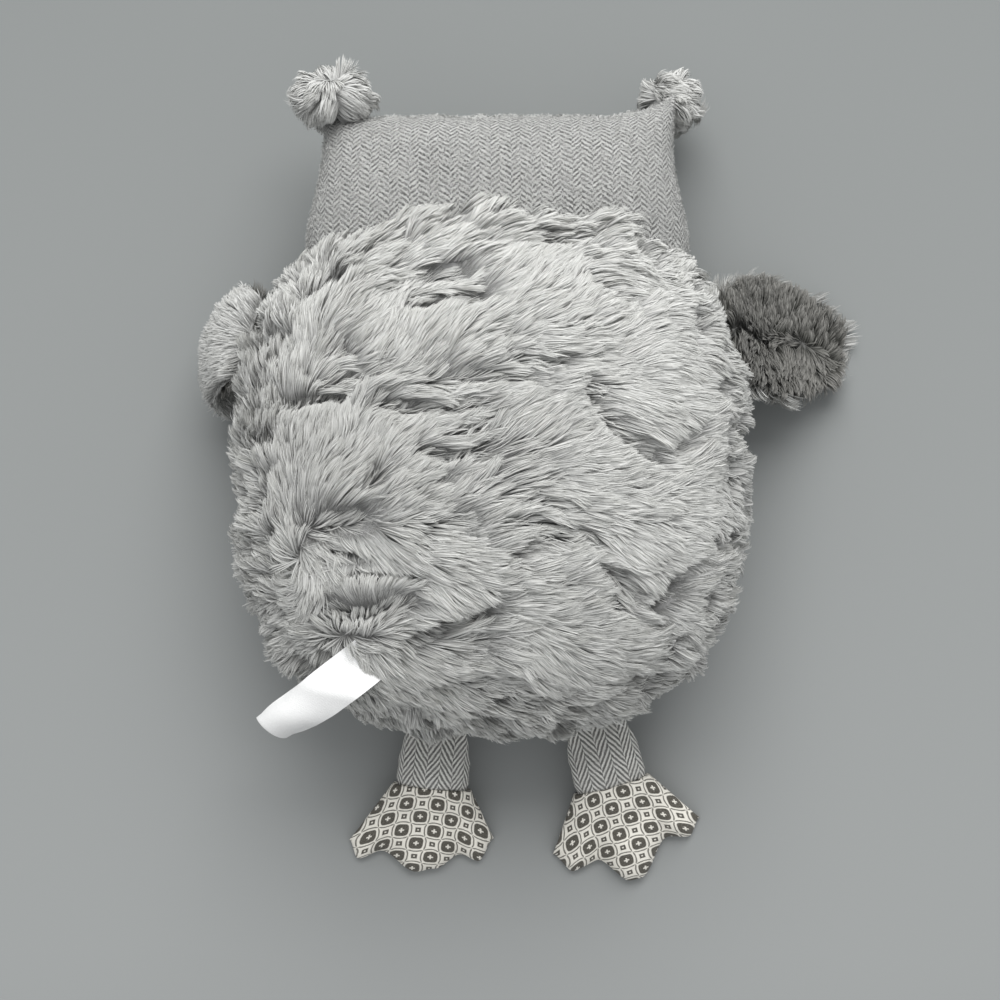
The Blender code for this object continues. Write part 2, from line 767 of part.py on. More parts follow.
def add_foot(side):
    """A stuffed pad with three toes, sewn to the leg at the ankle."""
    frame = leg_frame(side)
    bm = bmesh.new()
    add_slab(bm, foot_grid(frame, 1), foot_grid(frame, -1))
    bmesh.ops.remove_doubles(bm, verts=bm.verts[:], dist=GAP / 10)
    pivot = Matrix.Translation(frame.translation)
    return add_piece(f"foot_{side}", bm, "lattice_cloth", pivot)


# Face


def eye_middle(side):
    return HEAD_SHIFT + SIDES[side] * EYE_SPREAD, HEAD_TOP - EYE_PLACE


def disc_rows(middle, radius, rings, out):
    """Rings of points on the face round a middle, from the outermost in."""
    x, y = middle
    return [
        [
            face_point(x + r * math.cos(a), y + r * math.sin(a), out)
            for a in ring(PATCH_TURNS)
        ]
        for r in steps(radius, 0, rings)[:-1]
    ]


def add_eye_patch(side):
    """A felt disc that follows the face."""
    middle = eye_middle(side)
    out = FACE_GAP + FELT_THICKNESS
    bm = bmesh.new()
    inner = add_rows(bm, disc_rows(middle, PATCH_RADIUS, PATCH_RINGS, FACE_GAP), True)
    outer = add_rows(bm, disc_rows(middle, PATCH_RADIUS, PATCH_RINGS, out), True)
    close_with_point(bm, inner[-1], face_point(*middle, FACE_GAP))
    close_with_point(bm, outer[-1], face_point(*middle, out))
    join_rows(bm, inner[0], outer[0], True)
    return add_piece(f"eye_patch_{side}", bm, "cream_felt")


def eye_axis(side):
    """The eye's frame: its origin on the felt's outer side, its Z pointing into the head."""
    x, y = eye_middle(side)
    inward = -face_normal(x, y)
    origin = face_point(x, y, FACE_GAP + FELT_THICKNESS)
    return frame_at(origin, Vector((1, 0, 0)), inward)


def seat_height(side, radius, surface):
    """The lowest and highest places, along the eye's axis, of a surface within this radius."""
    frame = eye_axis(side)
    back = frame.inverted()
    heights = []
    for share in steps(0, 1, SEAT_RINGS):
        for a in ring(ROUND_TURNS):
            spot = frame @ Vector((radius * share * math.cos(a), radius * share * math.sin(a), 0))
            heights.append((back @ surface(spot.x, spot.y)).z)
    return min(heights), max(heights)


def felt_surface(x, y):
    return face_point(x, y, FACE_GAP + FELT_THICKNESS)


def panel_inside(x, y):
    return Vector((x, y, face_height(x, y, CLOTH_THICKNESS)))


def eye_profile(side):
    """The eye's turned outline, from its dome to the end of its ridged shank."""
    seat = seat_height(side, EYE_RADIUS, felt_surface)[0] - GAP
    rim = seat - EYE_FLANGE_THICKNESS
    profile = [(0, rim - EYE_DOME_HEIGHT)]
    for angle in steps(EYE_DOME_START, math.pi / 2, EYE_DOME_RINGS):
        profile.append((EYE_RADIUS * math.sin(angle), rim - EYE_DOME_HEIGHT * math.cos(angle)))
    profile += [(EYE_RADIUS, seat), (SHANK_RADIUS, seat)]
    ridged = SHANK_LENGTH / 2
    step = ridged / SHANK_RIDGES
    for i in range(SHANK_RIDGES):
        base = seat + SHANK_LENGTH - ridged + i * step
        profile += [(SHANK_RADIUS, base), (SHANK_RADIUS + SHANK_RIDGE, base + step / 4)]
        profile += [(SHANK_RADIUS, base + step / 2)]
    tip = seat + SHANK_LENGTH
    return profile + [(SHANK_RADIUS, tip), (0, tip)]


def add_eye(side):
    bm = bmesh.new()
    turned(bm, eye_profile(side), ROUND_TURNS, eye_axis(side))
    return add_piece(f"eye_{side}", bm, "black_plastic")


def washer_seat(side):
    return seat_height(side, WASHER_RADIUS, panel_inside)[1] + GAP


def bored_disc(name, side, radius, bore, low, high, material_name):
    """A ring round the eye's axis between two heights."""
    frame = eye_axis(side)
    corners = ((bore, low), (radius, low), (radius, high), (bore, high))
    rows = [
        [frame @ Vector((r * math.cos(a), r * math.sin(a), h)) for a in ring(ROUND_TURNS)]
        for r, h in corners
    ]
    bm = bmesh.new()
    made = add_rows(bm, rows, True)
    join_rows(bm, made[-1], made[0], True)
    return add_piece(name, bm, material_name)


def add_washer(side):
    """The disc that locks the eye's shank behind the face."""
    seat = washer_seat(side)
    bore = SHANK_RADIUS + SHANK_RIDGE + GAP
    top = seat + WASHER_THICKNESS
    return bored_disc(f"eye_washer_{side}", side, WASHER_RADIUS, bore, seat, top, "white_plastic")


def add_round_cutter(name, side, radius, low, high):
    """A cylinder round the eye's axis."""
    bm = bmesh.new()
    profile = [(0, low), (radius, low), (radius, high), (0, high)]
    turned(bm, profile, ROUND_TURNS, eye_axis(side))
    return add_piece(name, bm, "black_plastic")


def add_beak():
    """A stuffed point between the eyes, round above and pointed below."""
    top = HEAD_TOP - BEAK_PLACE

    def outline(a, share):
        across = math.cos(a) * blend(1, BEAK_POINT_SHARE, max(-math.sin(a), 0))
        x = HEAD_SHIFT + share * BEAK_HALF_WIDTH * across
        y = top - BEAK_LENGTH / 2 + share * BEAK_LENGTH / 2 * math.sin(a)
        return x, y

    def rows(height):
        return [
            [
                face_point(*outline(a, s), FACE_GAP + height * math.sqrt(1 - s * s))
                for a in ring(BEAK_TURNS)
            ]
            for s in steps(1, 0, BEAK_RINGS)[:-1]
        ]

    bm = bmesh.new()
    base = rows(0)
    swell = rows(BEAK_HEIGHT)
    flat = add_rows(bm, base, True)
    proud = add_rows(bm, [base[0]] + swell[1:], True)
    close_with_point(bm, flat[-1], face_point(*outline(0, 0), FACE_GAP))
    close_with_point(bm, proud[-1], face_point(*outline(0, 0), FACE_GAP + BEAK_HEIGHT))
    bmesh.ops.remove_doubles(bm, verts=flat[0] + proud[0], dist=GAP / 10)
    return add_piece("beak", bm, "dark_felt")


# Care label


def back_height(x, y):
    """The height of the body's back over this place."""
    rise = (1 - plan_reach(x, y) ** BACK_POWER) ** (1 / BACK_POWER)
    return SEAM_HEIGHT + BACK_DEPTH * rise - fold_depth(x, y)


def label_frame():
    """Origin in the middle of the sewn edge, X along the label, Y along that edge."""
    x, y = LABEL_PLACE
    heading = Vector((math.cos(LABEL_HEADING), math.sin(LABEL_HEADING), 0))
    sideways = Vector((-heading.y, heading.x, 0)) * LABEL_WIDTH / 2
    height = max(back_height(x + s * sideways.x, y + s * sideways.y) for s in steps(-1, 1, 8))
    along = heading * math.cos(LABEL_SLOPE) + Vector((0, 0, math.sin(LABEL_SLOPE)))
    origin = Vector((x, y, height + HINGE_OFFSET))
    return frame_at(origin, along, Vector((0, 0, 1)))


def add_label():
    """A folded satin loop that stands off the back and sags towards its free end."""
    frame = label_frame()

    def grid(height):
        return [
            [
                frame
                @ Vector(
                    (
                        blend(-ROOT_SETBACK, LABEL_LENGTH, share),
                        q * LABEL_WIDTH / 2,
                        height - LABEL_SAG * share**2,
                    )
                )
                for q in steps(-1, 1, LABEL_COLUMNS)
            ]
            for share in steps(0, 1, LABEL_STATIONS)
        ]

    bm = bmesh.new()
    add_slab(bm, grid(LABEL_THICKNESS / 2), grid(-LABEL_THICKNESS / 2))
    return add_piece("care_label", bm, "white_satin", Matrix.Translation(frame.translation))


def build():
    for old in list(bpy.data.objects):
        bpy.data.objects.remove(old)

    add_body_panel("body_back_fur", True, FUR_THICKNESS, "light_fur")
    add_body_panel("body_belly", False, CLOTH_THICKNESS, "tweed")
    add_body_filling()

    back = add_head_panel("head_back", 1)
    face = add_head_panel("head_face", -1)
    filling = add_head_filling()
    body_space = add_body_cutter()
    for piece in (back, face, filling):
        cut(piece, body_space)

    for side in SIDES:
        add_ear_tuft(side)
        add_wing(side)
        add_leg(side)
        add_foot(side)

        patch = add_eye_patch(side)
        add_eye(side)
        add_washer(side)
        bore = SHANK_RADIUS + GAP
        deep = SHANK_LENGTH + OVERRUN
        hole = add_round_cutter(f"shank_hole_{side}", side, bore, -OVERRUN, deep)
        pocket_radius = WASHER_RADIUS + GAP
        pocket = add_round_cutter(f"washer_pocket_{side}", side, pocket_radius, -OVERRUN, deep)
        cut(patch, hole)
        cut(face, hole)
        cut(filling, pocket)

    add_beak()
    add_label()


build()
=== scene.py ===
"""The looks of a plush owl that lies face down: long wavy fur, tweed, lattice cloth and felt.

Lengths are in metres. The camera looks straight down, and +Y points up in its picture.
"""

import json
import math

import bmesh
import bpy
import numpy as np
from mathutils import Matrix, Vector
from mathutils.bvhtree import BVHTree
from mathutils.kdtree import KDTree


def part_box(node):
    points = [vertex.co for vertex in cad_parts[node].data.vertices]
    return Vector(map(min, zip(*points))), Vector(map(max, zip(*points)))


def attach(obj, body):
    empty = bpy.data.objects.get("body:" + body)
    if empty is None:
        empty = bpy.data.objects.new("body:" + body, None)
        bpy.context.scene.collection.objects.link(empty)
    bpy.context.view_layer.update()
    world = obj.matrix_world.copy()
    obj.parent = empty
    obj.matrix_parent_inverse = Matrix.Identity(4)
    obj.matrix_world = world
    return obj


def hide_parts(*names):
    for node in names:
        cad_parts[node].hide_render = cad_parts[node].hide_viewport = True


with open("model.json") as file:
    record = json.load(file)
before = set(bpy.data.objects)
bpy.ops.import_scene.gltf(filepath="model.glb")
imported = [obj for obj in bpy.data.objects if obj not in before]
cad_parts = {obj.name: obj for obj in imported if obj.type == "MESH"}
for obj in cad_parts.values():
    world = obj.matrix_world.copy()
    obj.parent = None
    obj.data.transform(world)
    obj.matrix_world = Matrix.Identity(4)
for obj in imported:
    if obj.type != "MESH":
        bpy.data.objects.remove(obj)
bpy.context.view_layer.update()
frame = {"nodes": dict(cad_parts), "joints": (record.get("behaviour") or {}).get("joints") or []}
JOINTS = {joint["name"]: joint for joint in frame["joints"]}

# Camera
CAMERA_PLACE = (0.0044, -0.0178, 1.0)
LENS_MM = 60
SENSOR_MM = 36
PICTURE_SIDE = 1000  # pixels
FOCAL_PIXELS = PICTURE_SIDE * LENS_MM / SENSOR_MM

# Light and floor
WORLD_COLOUR = (0.97, 0.985, 1.0, 1)
WORLD_STRENGTH = 0.66
KEY_PLACE = (0.10, 1.30, 1.36)
KEY_SIZE = 1.50
KEY_POWER = 44.5
FLOOR_HALF_SIDE = 3.0
# The floor is painted darker towards the top of the picture and lighter towards the bottom: painted shade
# and painted light
FLOOR_TOP_SHADED_COLOUR = (0.190, 0.200, 0.197)
FLOOR_LOW_LIT_COLOUR = (0.305, 0.315, 0.312)
FLOOR_SHADE_FADE = (0.30, -0.32)  # along Y: where the painted shade starts to turn into the painted light, and ends

# Body
BACK_LOW, BACK_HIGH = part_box("body_back_fur")
BODY_HALF_WIDTH = (BACK_HIGH.x - BACK_LOW.x) / 2
BODY_HALF_LENGTH = (BACK_HIGH.y - BACK_LOW.y) / 2
SEAM_HEIGHT = BACK_LOW.z
BACK_DEPTH = BACK_HIGH.z - BACK_LOW.z
BELLY_DEPTH = SEAM_HEIGHT + 0.0005
PLAN_POWER = 2.6
BACK_POWER = 2.35
BELLY_POWER = 3.0
MEAN_HALF = (BODY_HALF_WIDTH + BODY_HALF_LENGTH) / 2
SKIN_DEPTH = 0.0060  # of the pile's backing under the outer size
NUDGE = 0.0004
FLOOR_CLEAR = 0.0002
BELLY_WRINKLE = 0.0016
BELLY_DENT = 0.0005
BELLY_FLAT = 0.55  # how far round its middle the belly has no wrinkles, on the map

# Long pile
PILE_LENGTH = 0.0205
PILE_SPACING = 0.00073
STRAND_WIDTH = 0.00050
STRAND_POINTS = 5
STRAND_SHARES = (0.75, 1.0, 0.9, 0.62)  # of the width, from the root on
ALONG_STRAND = np.linspace(0, 1, STRAND_POINTS)[None, :, None]
TINT_WIDTH = 0.0015  # how wide one strand lies on its colour map
PILE_PIECES = 10
PILE_LOCKS = (60, 14)  # strands in a broad lock and in a narrow one
PILE_GATHERS = (0.26, 0.50)  # how far they draw together in each
PILE_RISE = 0.0050
PILE_REACH_SHARE = 0.95  # of a strand's length
SHORTEST_REACH = 0.0022
PARTED_DROOP = 0.0026
CREST_START = 0.118  # where the pile starts to stand up against the head
CREST_RUN = 0.025
CREST_RISE = 0.0030
PILE_LOWEST = 0.0006  # over the floor

# The way the pile is combed: for each picture row, places across it and the heading of the tips
COMBED = {
    205: ((450, 32), (480, 36), (502, 30), (525, 2), (550, -12), (580, -12)),
    235: ((340, 45), (380, 38), (425, 42), (465, 30), (520, 0), (560, 8), (605, 20), (650, 12), (685, 0)),
    260: ((300, 75), (335, 25), (370, 15), (425, 18), (475, 20), (505, 50), (545, 38), (585, 5),
          (640, 0), (695, -20)),
    283: ((280, 130), (315, 80), (375, -5), (415, 5), (455, 8), (485, 35), (525, 50), (570, 48),
          (610, -15), (650, -20), (690, 33)),
    312: ((252, 150), (300, 100), (325, 68), (370, 60), (425, 22), (465, 42), (510, 32), (550, 25),
          (595, 42), (645, 25), (690, 38), (725, 60)),
    335: ((240, 60), (270, 98), (300, 78), (330, 38), (365, 45), (395, 75), (420, 78), (450, 52),
          (490, 12), (535, -5), (580, 15), (620, 48), (665, 15), (705, -10)),
    360: ((245, 75), (275, 95), (300, 80), (330, 5), (365, 18), (400, 68), (432, 60), (465, 22),
          (510, 0), (560, -12), (605, 28), (640, 25), (680, -27), (725, -28)),
    388: ((245, 80), (275, 88), (315, 5), (350, -5), (385, 8), (425, 12), (470, 8), (515, 20),
          (550, 25), (585, -15), (630, -18), (680, -24), (725, -15)),
    412: ((245, 100), (275, 75), (315, 50), (350, 66), (375, 20), (430, -3), (475, 5), (510, 38),
          (545, 47), (580, 15), (620, -28), (665, -18), (700, 10), (735, 25)),
    440: ((245, 50), (300, 60), (330, 88), (360, 78), (390, 52), (425, -8), (465, 8), (495, 42),
          (535, 30), (575, 30), (610, -2), (650, -10), (685, 30), (725, 30)),
    465: ((245, 145), (285, 95), (312, 66), (340, 50), (370, 62), (400, 55), (430, 25), (465, 30),
          (495, 42), (530, 2), (575, 15), (620, 24), (655, 5), (690, 38), (725, 0)),
    488: ((245, 145), (280, 102), (300, 75), (325, 30), (352, 25), (385, 44), (420, 48), (455, 52),
          (485, 32), (520, -10), (560, -16), (600, 5), (640, 32), (675, 18), (715, -20), (740, -40)),
    508: ((245, 150), (278, 100), (302, 74), (330, 60), (357, 45), (385, 30), (430, 35), (475, 22),
          (520, -6), (565, -18), (605, -18), (645, 20), (685, -15), (725, -45)),
    535: ((248, 150), (278, 112), (304, -40), (332, -45), (360, -50), (395, -40), (430, 15), (470, 25),
          (515, 12), (555, -5), (590, -32), (630, -25), (670, -22), (715, -35)),
    560: ((250, 155), (280, 125), (308, -62), (345, -85), (375, -72), (408, -30), (450, -5), (485, 12),
          (525, 26), (565, 15), (600, -32), (635, -42), (680, -25), (725, 28)),
    583: ((256, 165), (284, 140), (312, -85), (338, 122), (362, 96), (386, 58), (425, -32), (455, -45),
          (490, 25), (540, 26), (580, 18), (620, -38), (655, -52), (700, 10)),
    606: ((265, 225), (305, 235), (335, 118), (362, 90), (395, 26), (435, -45), (470, -5), (500, 30),
          (540, -3), (585, 22), (620, -18), (655, -30), (705, -15)),
    628: ((270, 215), (300, 178), (322, 140), (345, 100), (364, 62), (388, 5), (415, 12), (455, 15),
          (490, 32), (520, -30), (560, -5), (600, 10), (640, -15), (690, -25)),
    652: ((292, 222), (322, 258), (345, 295), (372, 308), (402, -28), (440, 15), (480, 20), (515, -50),
          (550, -48), (590, 0), (635, 3), (680, -10)),
    680: ((370, -40), (405, -28), (450, -5), (495, -8), (525, -45), (555, -50), (600, -8), (650, -8)),
    703: ((355, -60), (395, -38), (435, -30), (480, -18), (525, -5), (580, 5), (630, -10)),
    726: ((380, -45), (420, -62), (455, -45), (500, -20), (550, -8)),
}
COMB_REACH = 0.009  # how far round it one combed place counts most

# Where the pile parts: how strongly, and the picture places along each parting
PARTINGS = (
    (1.0, ((286, 318), (300, 296), (328, 280), (352, 270))),
    (0.6, ((336, 262), (356, 252), (380, 244))),
    (0.8, ((364, 273), (382, 264), (400, 255))),
    (1.0, ((366, 285), (395, 281), (420, 271), (450, 267), (488, 258))),
    (1.0, ((396, 314), (410, 303), (440, 299), (470, 290), (494, 276))),
    (0.9, ((310, 354), (332, 353), (354, 344))),
    (0.7, ((286, 389), (320, 386), (350, 377), (380, 360))),
    (0.8, ((388, 387), (420, 384), (460, 381), (509, 376), (553, 376))),
    (0.9, ((260, 414), (290, 410), (314, 402), (340, 400), (354, 392))),
    (0.8, ((350, 419), (372, 408), (400, 410), (440, 410), (470, 405), (502, 398))),
    (0.7, ((418, 437), (450, 436), (480, 426), (504, 410))),
    (1.0, ((396, 458), (425, 454), (450, 463), (472, 454), (494, 430))),
    (0.9, ((340, 498), (360, 488), (388, 469))),
    (0.7, ((400, 492), (430, 487), (454, 479))),
    (1.0, ((283, 532), (310, 532), (335, 525), (350, 520), (376, 514))),
    (0.8, ((400, 531), (440, 527), (484, 521))),
    (0.4, ((478, 503), (520, 504), (560, 510), (602, 525))),
    (0.8, ((480, 531), (509, 528), (543, 524), (566, 529), (587, 539), (602, 560))),
    (0.9, ((491, 577), (513, 551), (537, 537), (562, 541), (587, 556))),
    (0.9, ((587, 556), (604, 573), (629, 598), (645, 617))),
    (0.8, ((587, 600), (614, 606), (633, 617))),
    (1.0, ((640, 618), (655, 612), (683, 577), (706, 556))),
    (1.0, ((294, 549), (325, 552), (350, 556), (372, 564))),
    (0.9, ((326, 586), (344, 580), (370, 577), (398, 578), (422, 588))),
    (0.7, ((242, 581), (275, 577), (308, 578))),
    (0.6, ((248, 606), (275, 603), (298, 608))),
    (1.0, ((300, 616), (340, 622), (372, 622), (392, 612), (428, 602))),
    (1.0, ((380, 643), (405, 639), (450, 627), (476, 618), (502, 598))),
    (0.8, ((426, 663), (455, 654), (480, 650), (504, 639))),
    (0.7, ((480, 359), (518, 359), (557, 363), (564, 370))),
    (0.9, ((574, 374), (587, 395), (604, 417), (618, 438), (652, 459), (664, 466))),
    (0.7, ((664, 466), (678, 445), (690, 424))),
    (0.7, ((593, 443), (622, 449))),
    (0.7, ((614, 474), (643, 489))),
    (0.5, ((700, 552), (725, 545), (747, 557))),
    (0.5, ((396, 684), (440, 690), (480, 689), (522, 694))),
    (0.8, ((498, 228), (530, 228), (555, 238), (564, 252))),
    (0.5, ((446, 246), (470, 241), (494, 240))),
    (0.5, ((573, 267), (590, 282), (615, 296), (642, 307))),
    (0.7, ((242, 340), (256, 330), (272, 316))),
    (0.6, ((240, 452), (262, 446), (286, 452))),
    (0.6, ((244, 491), (262, 482), (282, 477))),
    (0.6, ((240, 549), (262, 542), (286, 548))),
    (0.7, ((262, 641), (282, 632), (302, 610))),
    (0.6, ((286, 640), (300, 644), (314, 650))),
    (0.7, ((638, 641), (655, 628), (674, 621))),
    (0.6, ((638, 652), (660, 645), (692, 650))),
    (0.4, ((468, 341), (500, 338), (542, 345))),
    (0.4, ((508, 477), (540, 482), (562, 478))),
    (0.5, ((498, 713), (530, 700), (572, 699))),
)
PARTING_FADE = 0.006  # the stretch at a parting's ends where it closes
PARTING_WIDTH = 0.0080
PARTING_DEPTH = 0.0078
SIDE_PARTING_OUTS = (0.93, 1.03, 1.13, 1.22)  # as shares of the half sizes, along the surface
SIDE_PARTING_STRENGTH = 0.8


# Meshes


def make_mesh(name, points, quads, triangles=(), places=None, places_name="cloth"):
    """An object from arrays of points and faces; places gives each point a spot on a map."""
    quads = np.asarray(quads, np.int32).reshape(-1, 4)
    triangles = np.asarray(triangles, np.int32).reshape(-1, 3)
    corners = np.concatenate([quads.ravel(), triangles.ravel()])
    starts = np.concatenate(
        [np.arange(len(quads)) * 4, quads.size + np.arange(len(triangles)) * 3]
    )
    mesh = bpy.data.meshes.new(name)
    mesh.vertices.add(len(points))
    mesh.vertices.foreach_set("co", np.asarray(points, np.float32).ravel())
    mesh.loops.add(len(corners))
    mesh.loops.foreach_set("vertex_index", corners.astype(np.int32))
    mesh.polygons.add(len(starts))
    mesh.polygons.foreach_set("loop_start", starts.astype(np.int32))
    if places is not None:
        layer = mesh.uv_layers.new(name=places_name)
        layer.uv.foreach_set("vector", np.asarray(places, np.float32)[corners].ravel())
    mesh.update(calc_edges=True)
    mesh.shade_smooth()
    made = bpy.data.objects.new(name, mesh)
    bpy.context.scene.collection.objects.link(made)
    return made


def ring_faces(rows, columns):
    i = np.arange(rows - 1)[:, None]
    j = np.arange(columns)[None, :]
    after = (j + 1) % columns
    low, high = i * columns, (i + 1) * columns
    return np.stack([low + j, low + after, high + after, high + j], -1).reshape(-1, 4)


def sheet_faces(rows, columns):
    i = np.arange(rows - 1)[:, None] * columns
    j = np.arange(columns - 1)[None, :]
    return np.stack([i + j, i + j + 1, i + columns + j + 1, i + columns + j], -1).reshape(-1, 4)


def grid_mesh(name, grid, faces_of, places=None, flip=False):
    """A mesh over rows of points; faces_of is ring_faces or sheet_faces."""
    faces = faces_of(*grid.shape[:2])
    if flip:
        faces = faces[:, ::-1]
    if places is not None:
        places = places.reshape(-1, 2)
    return make_mesh(name, grid.reshape(-1, 3), faces, (), places)


def mesh_arrays(mesh):
    """A mesh's points, their normals and its triangles."""
    mesh.calc_loop_triangles()
    points, normals = np.zeros((2, len(mesh.vertices) * 3))
    mesh.vertices.foreach_get("co", points)
    mesh.vertices.foreach_get("normal", normals)
    faces = np.zeros(len(mesh.loop_triangles) * 3, np.int32)
    mesh.loop_triangles.foreach_get("vertices", faces)
    return points.reshape(-1, 3), normals.reshape(-1, 3), faces.reshape(-1, 3)


def change_mesh(piece, change):
    """Runs a change on a piece's mesh, then turns its faces outward."""
    bm = bmesh.new()
    bm.from_mesh(piece.data)
    change(bm)
    bmesh.ops.recalc_face_normals(bm, faces=bm.faces)
    bm.to_mesh(piece.data)
    bm.free()


def fill_holes(bm):
    """Closes the holes in a mesh with fans of triangles."""
    edges = [edge for edge in bm.edges if edge.is_boundary]
    filled = bmesh.ops.holes_fill(bm, edges=edges)["faces"]
    bmesh.ops.poke(bm, faces=filled)


def wear(piece, material):
    piece.data.materials.clear()
    piece.data.materials.append(material)


def dress(piece, material, body, *nodes, fill=None):
    """A piece's material, its body and the nodes that it stands for; fill, how full its padding is, is not
    used.
    """
    wear(piece, material)
    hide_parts(*nodes)
    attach(piece, body)


def node_middle(node):
    low, high = (np.array(corner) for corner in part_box(node))
    return (low + high) / 2


def joint_line(name):
    """A joint's origin and axis."""
    return np.array(JOINTS[name]["pos_m"], float), np.array(JOINTS[name]["axis"], float)


# Shapes


def unit(vectors):
    return vectors / np.maximum(np.linalg.norm(vectors, axis=-1, keepdims=True), 1e-12)


def along_skin(heads, normals):
    return unit(heads - normals * (heads * normals).sum(1)[:, None])


def smooth(share):
    share = np.clip(share, 0, 1)
    return share * share * (3 - 2 * share)


def rounded(angle, power):
    """Cosine and sine of a superellipse."""
    across, along = np.cos(angle), np.sin(angle)
    return (
        np.sign(across) * np.abs(across) ** (2 / power),
        np.sign(along) * np.abs(along) ** (2 / power),
    )


def gone_along(points, axis):
    """The distance gone along rows or columns of points, up to each of them."""
    steps = np.linalg.norm(np.diff(points, axis=axis), axis=-1)
    start = np.zeros_like(np.take(steps, [0], axis))
    return np.concatenate([start, np.cumsum(steps, axis)], axis)


class Ripple:
    """A smooth random field over a plane, from -1 to 1, with bumps about one cell wide."""

    SIDE = 64

    def __init__(self, cell, seed):
        self.cell = cell
        self.values = np.random.default_rng(seed).uniform(-1, 1, (self.SIDE, self.SIDE))

    def __call__(self, a, b):
        x, y = a / self.cell, b / self.cell
        i, j = np.floor(x).astype(int), np.floor(y).astype(int)
        u, v = smooth(x - i), smooth(y - j)
        grid = self.values
        i0, i1 = i % self.SIDE, (i + 1) % self.SIDE
        j0, j1 = j % self.SIDE, (j + 1) % self.SIDE
        low = grid[i0, j0] * (1 - u) + grid[i1, j0] * u
        high = grid[i0, j1] * (1 - u) + grid[i1, j1] * u
        return low * (1 - v) + high * v


# The body's surface, on a map that is its plan near the top and unrolls its sides


def body_outline():
    """The body's side outline from its top down: distance gone, reach and height."""
    up = np.linspace(np.pi / 2, 0, 240)
    down = np.linspace(0, -np.pi / 2, 240)[1:]
    reach_up, rise = rounded(up, BACK_POWER)
    reach_down, fall = rounded(down, BELLY_POWER)
    reach = np.concatenate([reach_up, reach_down])
    height = SEAM_HEIGHT + np.concatenate([BACK_DEPTH * rise, BELLY_DEPTH * fall])
    gone = np.hypot(np.diff(reach) * MEAN_HALF, np.diff(height))
    return np.concatenate([[0], np.cumsum(gone)]) / MEAN_HALF, reach, height


GONE, REACH, HEIGHT = body_outline()
SEAM_GONE = float(np.interp(-SEAM_HEIGHT, -HEIGHT, GONE))


def plan_size(across, along):
    """How far out the plan's outline lies in a direction, in its half sizes."""
    return (np.abs(across) ** PLAN_POWER + np.abs(along) ** PLAN_POWER) ** (-1 / PLAN_POWER)


def map_spot(turn, out):
    """The map place at a turn and a distance out."""
    across, along = np.cos(turn), np.sin(turn)
    out = out * plan_size(across, along)
    return np.stack([BODY_HALF_WIDTH * across * out, BODY_HALF_LENGTH * along * out], -1)


def map_polar(a, b):
    """The direction on the map as cosine and sine over the plan's outline, and how far out."""
    turn = np.arctan2(b / BODY_HALF_LENGTH, a / BODY_HALF_WIDTH)
    across, along = np.cos(turn), np.sin(turn)
    size = plan_size(across, along)
    out = np.hypot(a / BODY_HALF_WIDTH, b / BODY_HALF_LENGTH) / size
    return across * size, along * size, out


def body_surface(a, b):
    across, along, out = map_polar(a, b)
    reach = np.interp(out, GONE, REACH)
    height = np.interp(out, GONE, HEIGHT)
    return np.stack([BODY_HALF_WIDTH * across * reach, BODY_HALF_LENGTH * along * reach, height], -1)


def body_place(a, b, height):
    """The point at this height over the body's surface, and the surface's normal there."""
    along_a = body_surface(a + NUDGE, b) - body_surface(a - NUDGE, b)
    along_b = body_surface(a, b + NUDGE) - body_surface(a, b - NUDGE)
    normal = unit(np.cross(along_a, along_b))
    return body_surface(a, b) + normal * height[..., None], normal


def plan_to_map(x, y):
    across, along, out = map_polar(x, y)
    above = GONE <= SEAM_GONE
    gone = np.interp(np.minimum(out, 0.999), REACH[above], GONE[above])
    return np.stack([BODY_HALF_WIDTH * across * gone, BODY_HALF_LENGTH * along * gone], -1)


def seen_on_back(px, py):
    """The map place of what the photograph shows on the back at a pixel."""
    height = np.full(np.shape(px), BACK_HIGH.z)
    for _ in range(6):
        per_metre = FOCAL_PIXELS / (CAMERA_PLACE[2] - height)
        x = CAMERA_PLACE[0] + (px - PICTURE_SIDE / 2) / per_metre
        y = CAMERA_PLACE[1] - (py - PICTURE_SIDE / 2) / per_metre
        spot = plan_to_map(x, y)
        height = body_surface(spot[..., 0], spot[..., 1])[..., 2]
    return spot


# Pile: strands of real mesh


def grow(roots, normals, heads, reach, rise, bend, droop=0.0):
    """The lines of strands that rise from their roots and lean over towards their heads."""
    s = ALONG_STRAND
    sideways = np.cross(normals, heads)
    return (
        roots[:, None]
        + heads[:, None] * reach[:, None, None] * s
        + normals[:, None] * rise[:, None, None] * (1 - (1 - s) ** 2)
        + sideways[:, None] * (bend * reach)[:, None, None] * s**2
        - normals[:, None] * np.broadcast_to(droop, reach.shape)[:, None, None] * s**3
    )


def part_locks(roots, per_lock, rng):
    """Shares the strands out among locks: each strand's lock, and the strand in its middle."""
    centres = rng.choice(len(roots), max(len(roots) // per_lock, 4), replace=False)
    tree = KDTree(len(centres))
    for i, centre in enumerate(centres):
        tree.insert(roots[centre], i)
    tree.balance()
    lock = np.fromiter((tree.find(root)[1] for root in roots), int, len(roots))
    return lock, centres[lock]


def two_locks(roots, sizes, counts, rng):
    """Broad and narrow locks: the strands in their middles, and random numbers that they share."""
    parted = [part_locks(roots, size, rng) for size in sizes]
    shared = [
        rng.uniform(-1, 1, (count, len(roots)))[:, lock] for count, (lock, _) in zip(counts, parted)
    ]
    return [middle for _, middle in parted], shared


def gather(lines, heads, middles, amounts):
    """Draws strands that lie alike towards the middle strands of their locks."""
    for middle, amount in zip(middles, amounts):
        alike = smooth(((heads * heads[middle]).sum(1) - 0.70) / 0.25)
        lines += (lines[middle] - lines) * amount * alike[:, None, None] * ALONG_STRAND**1.4


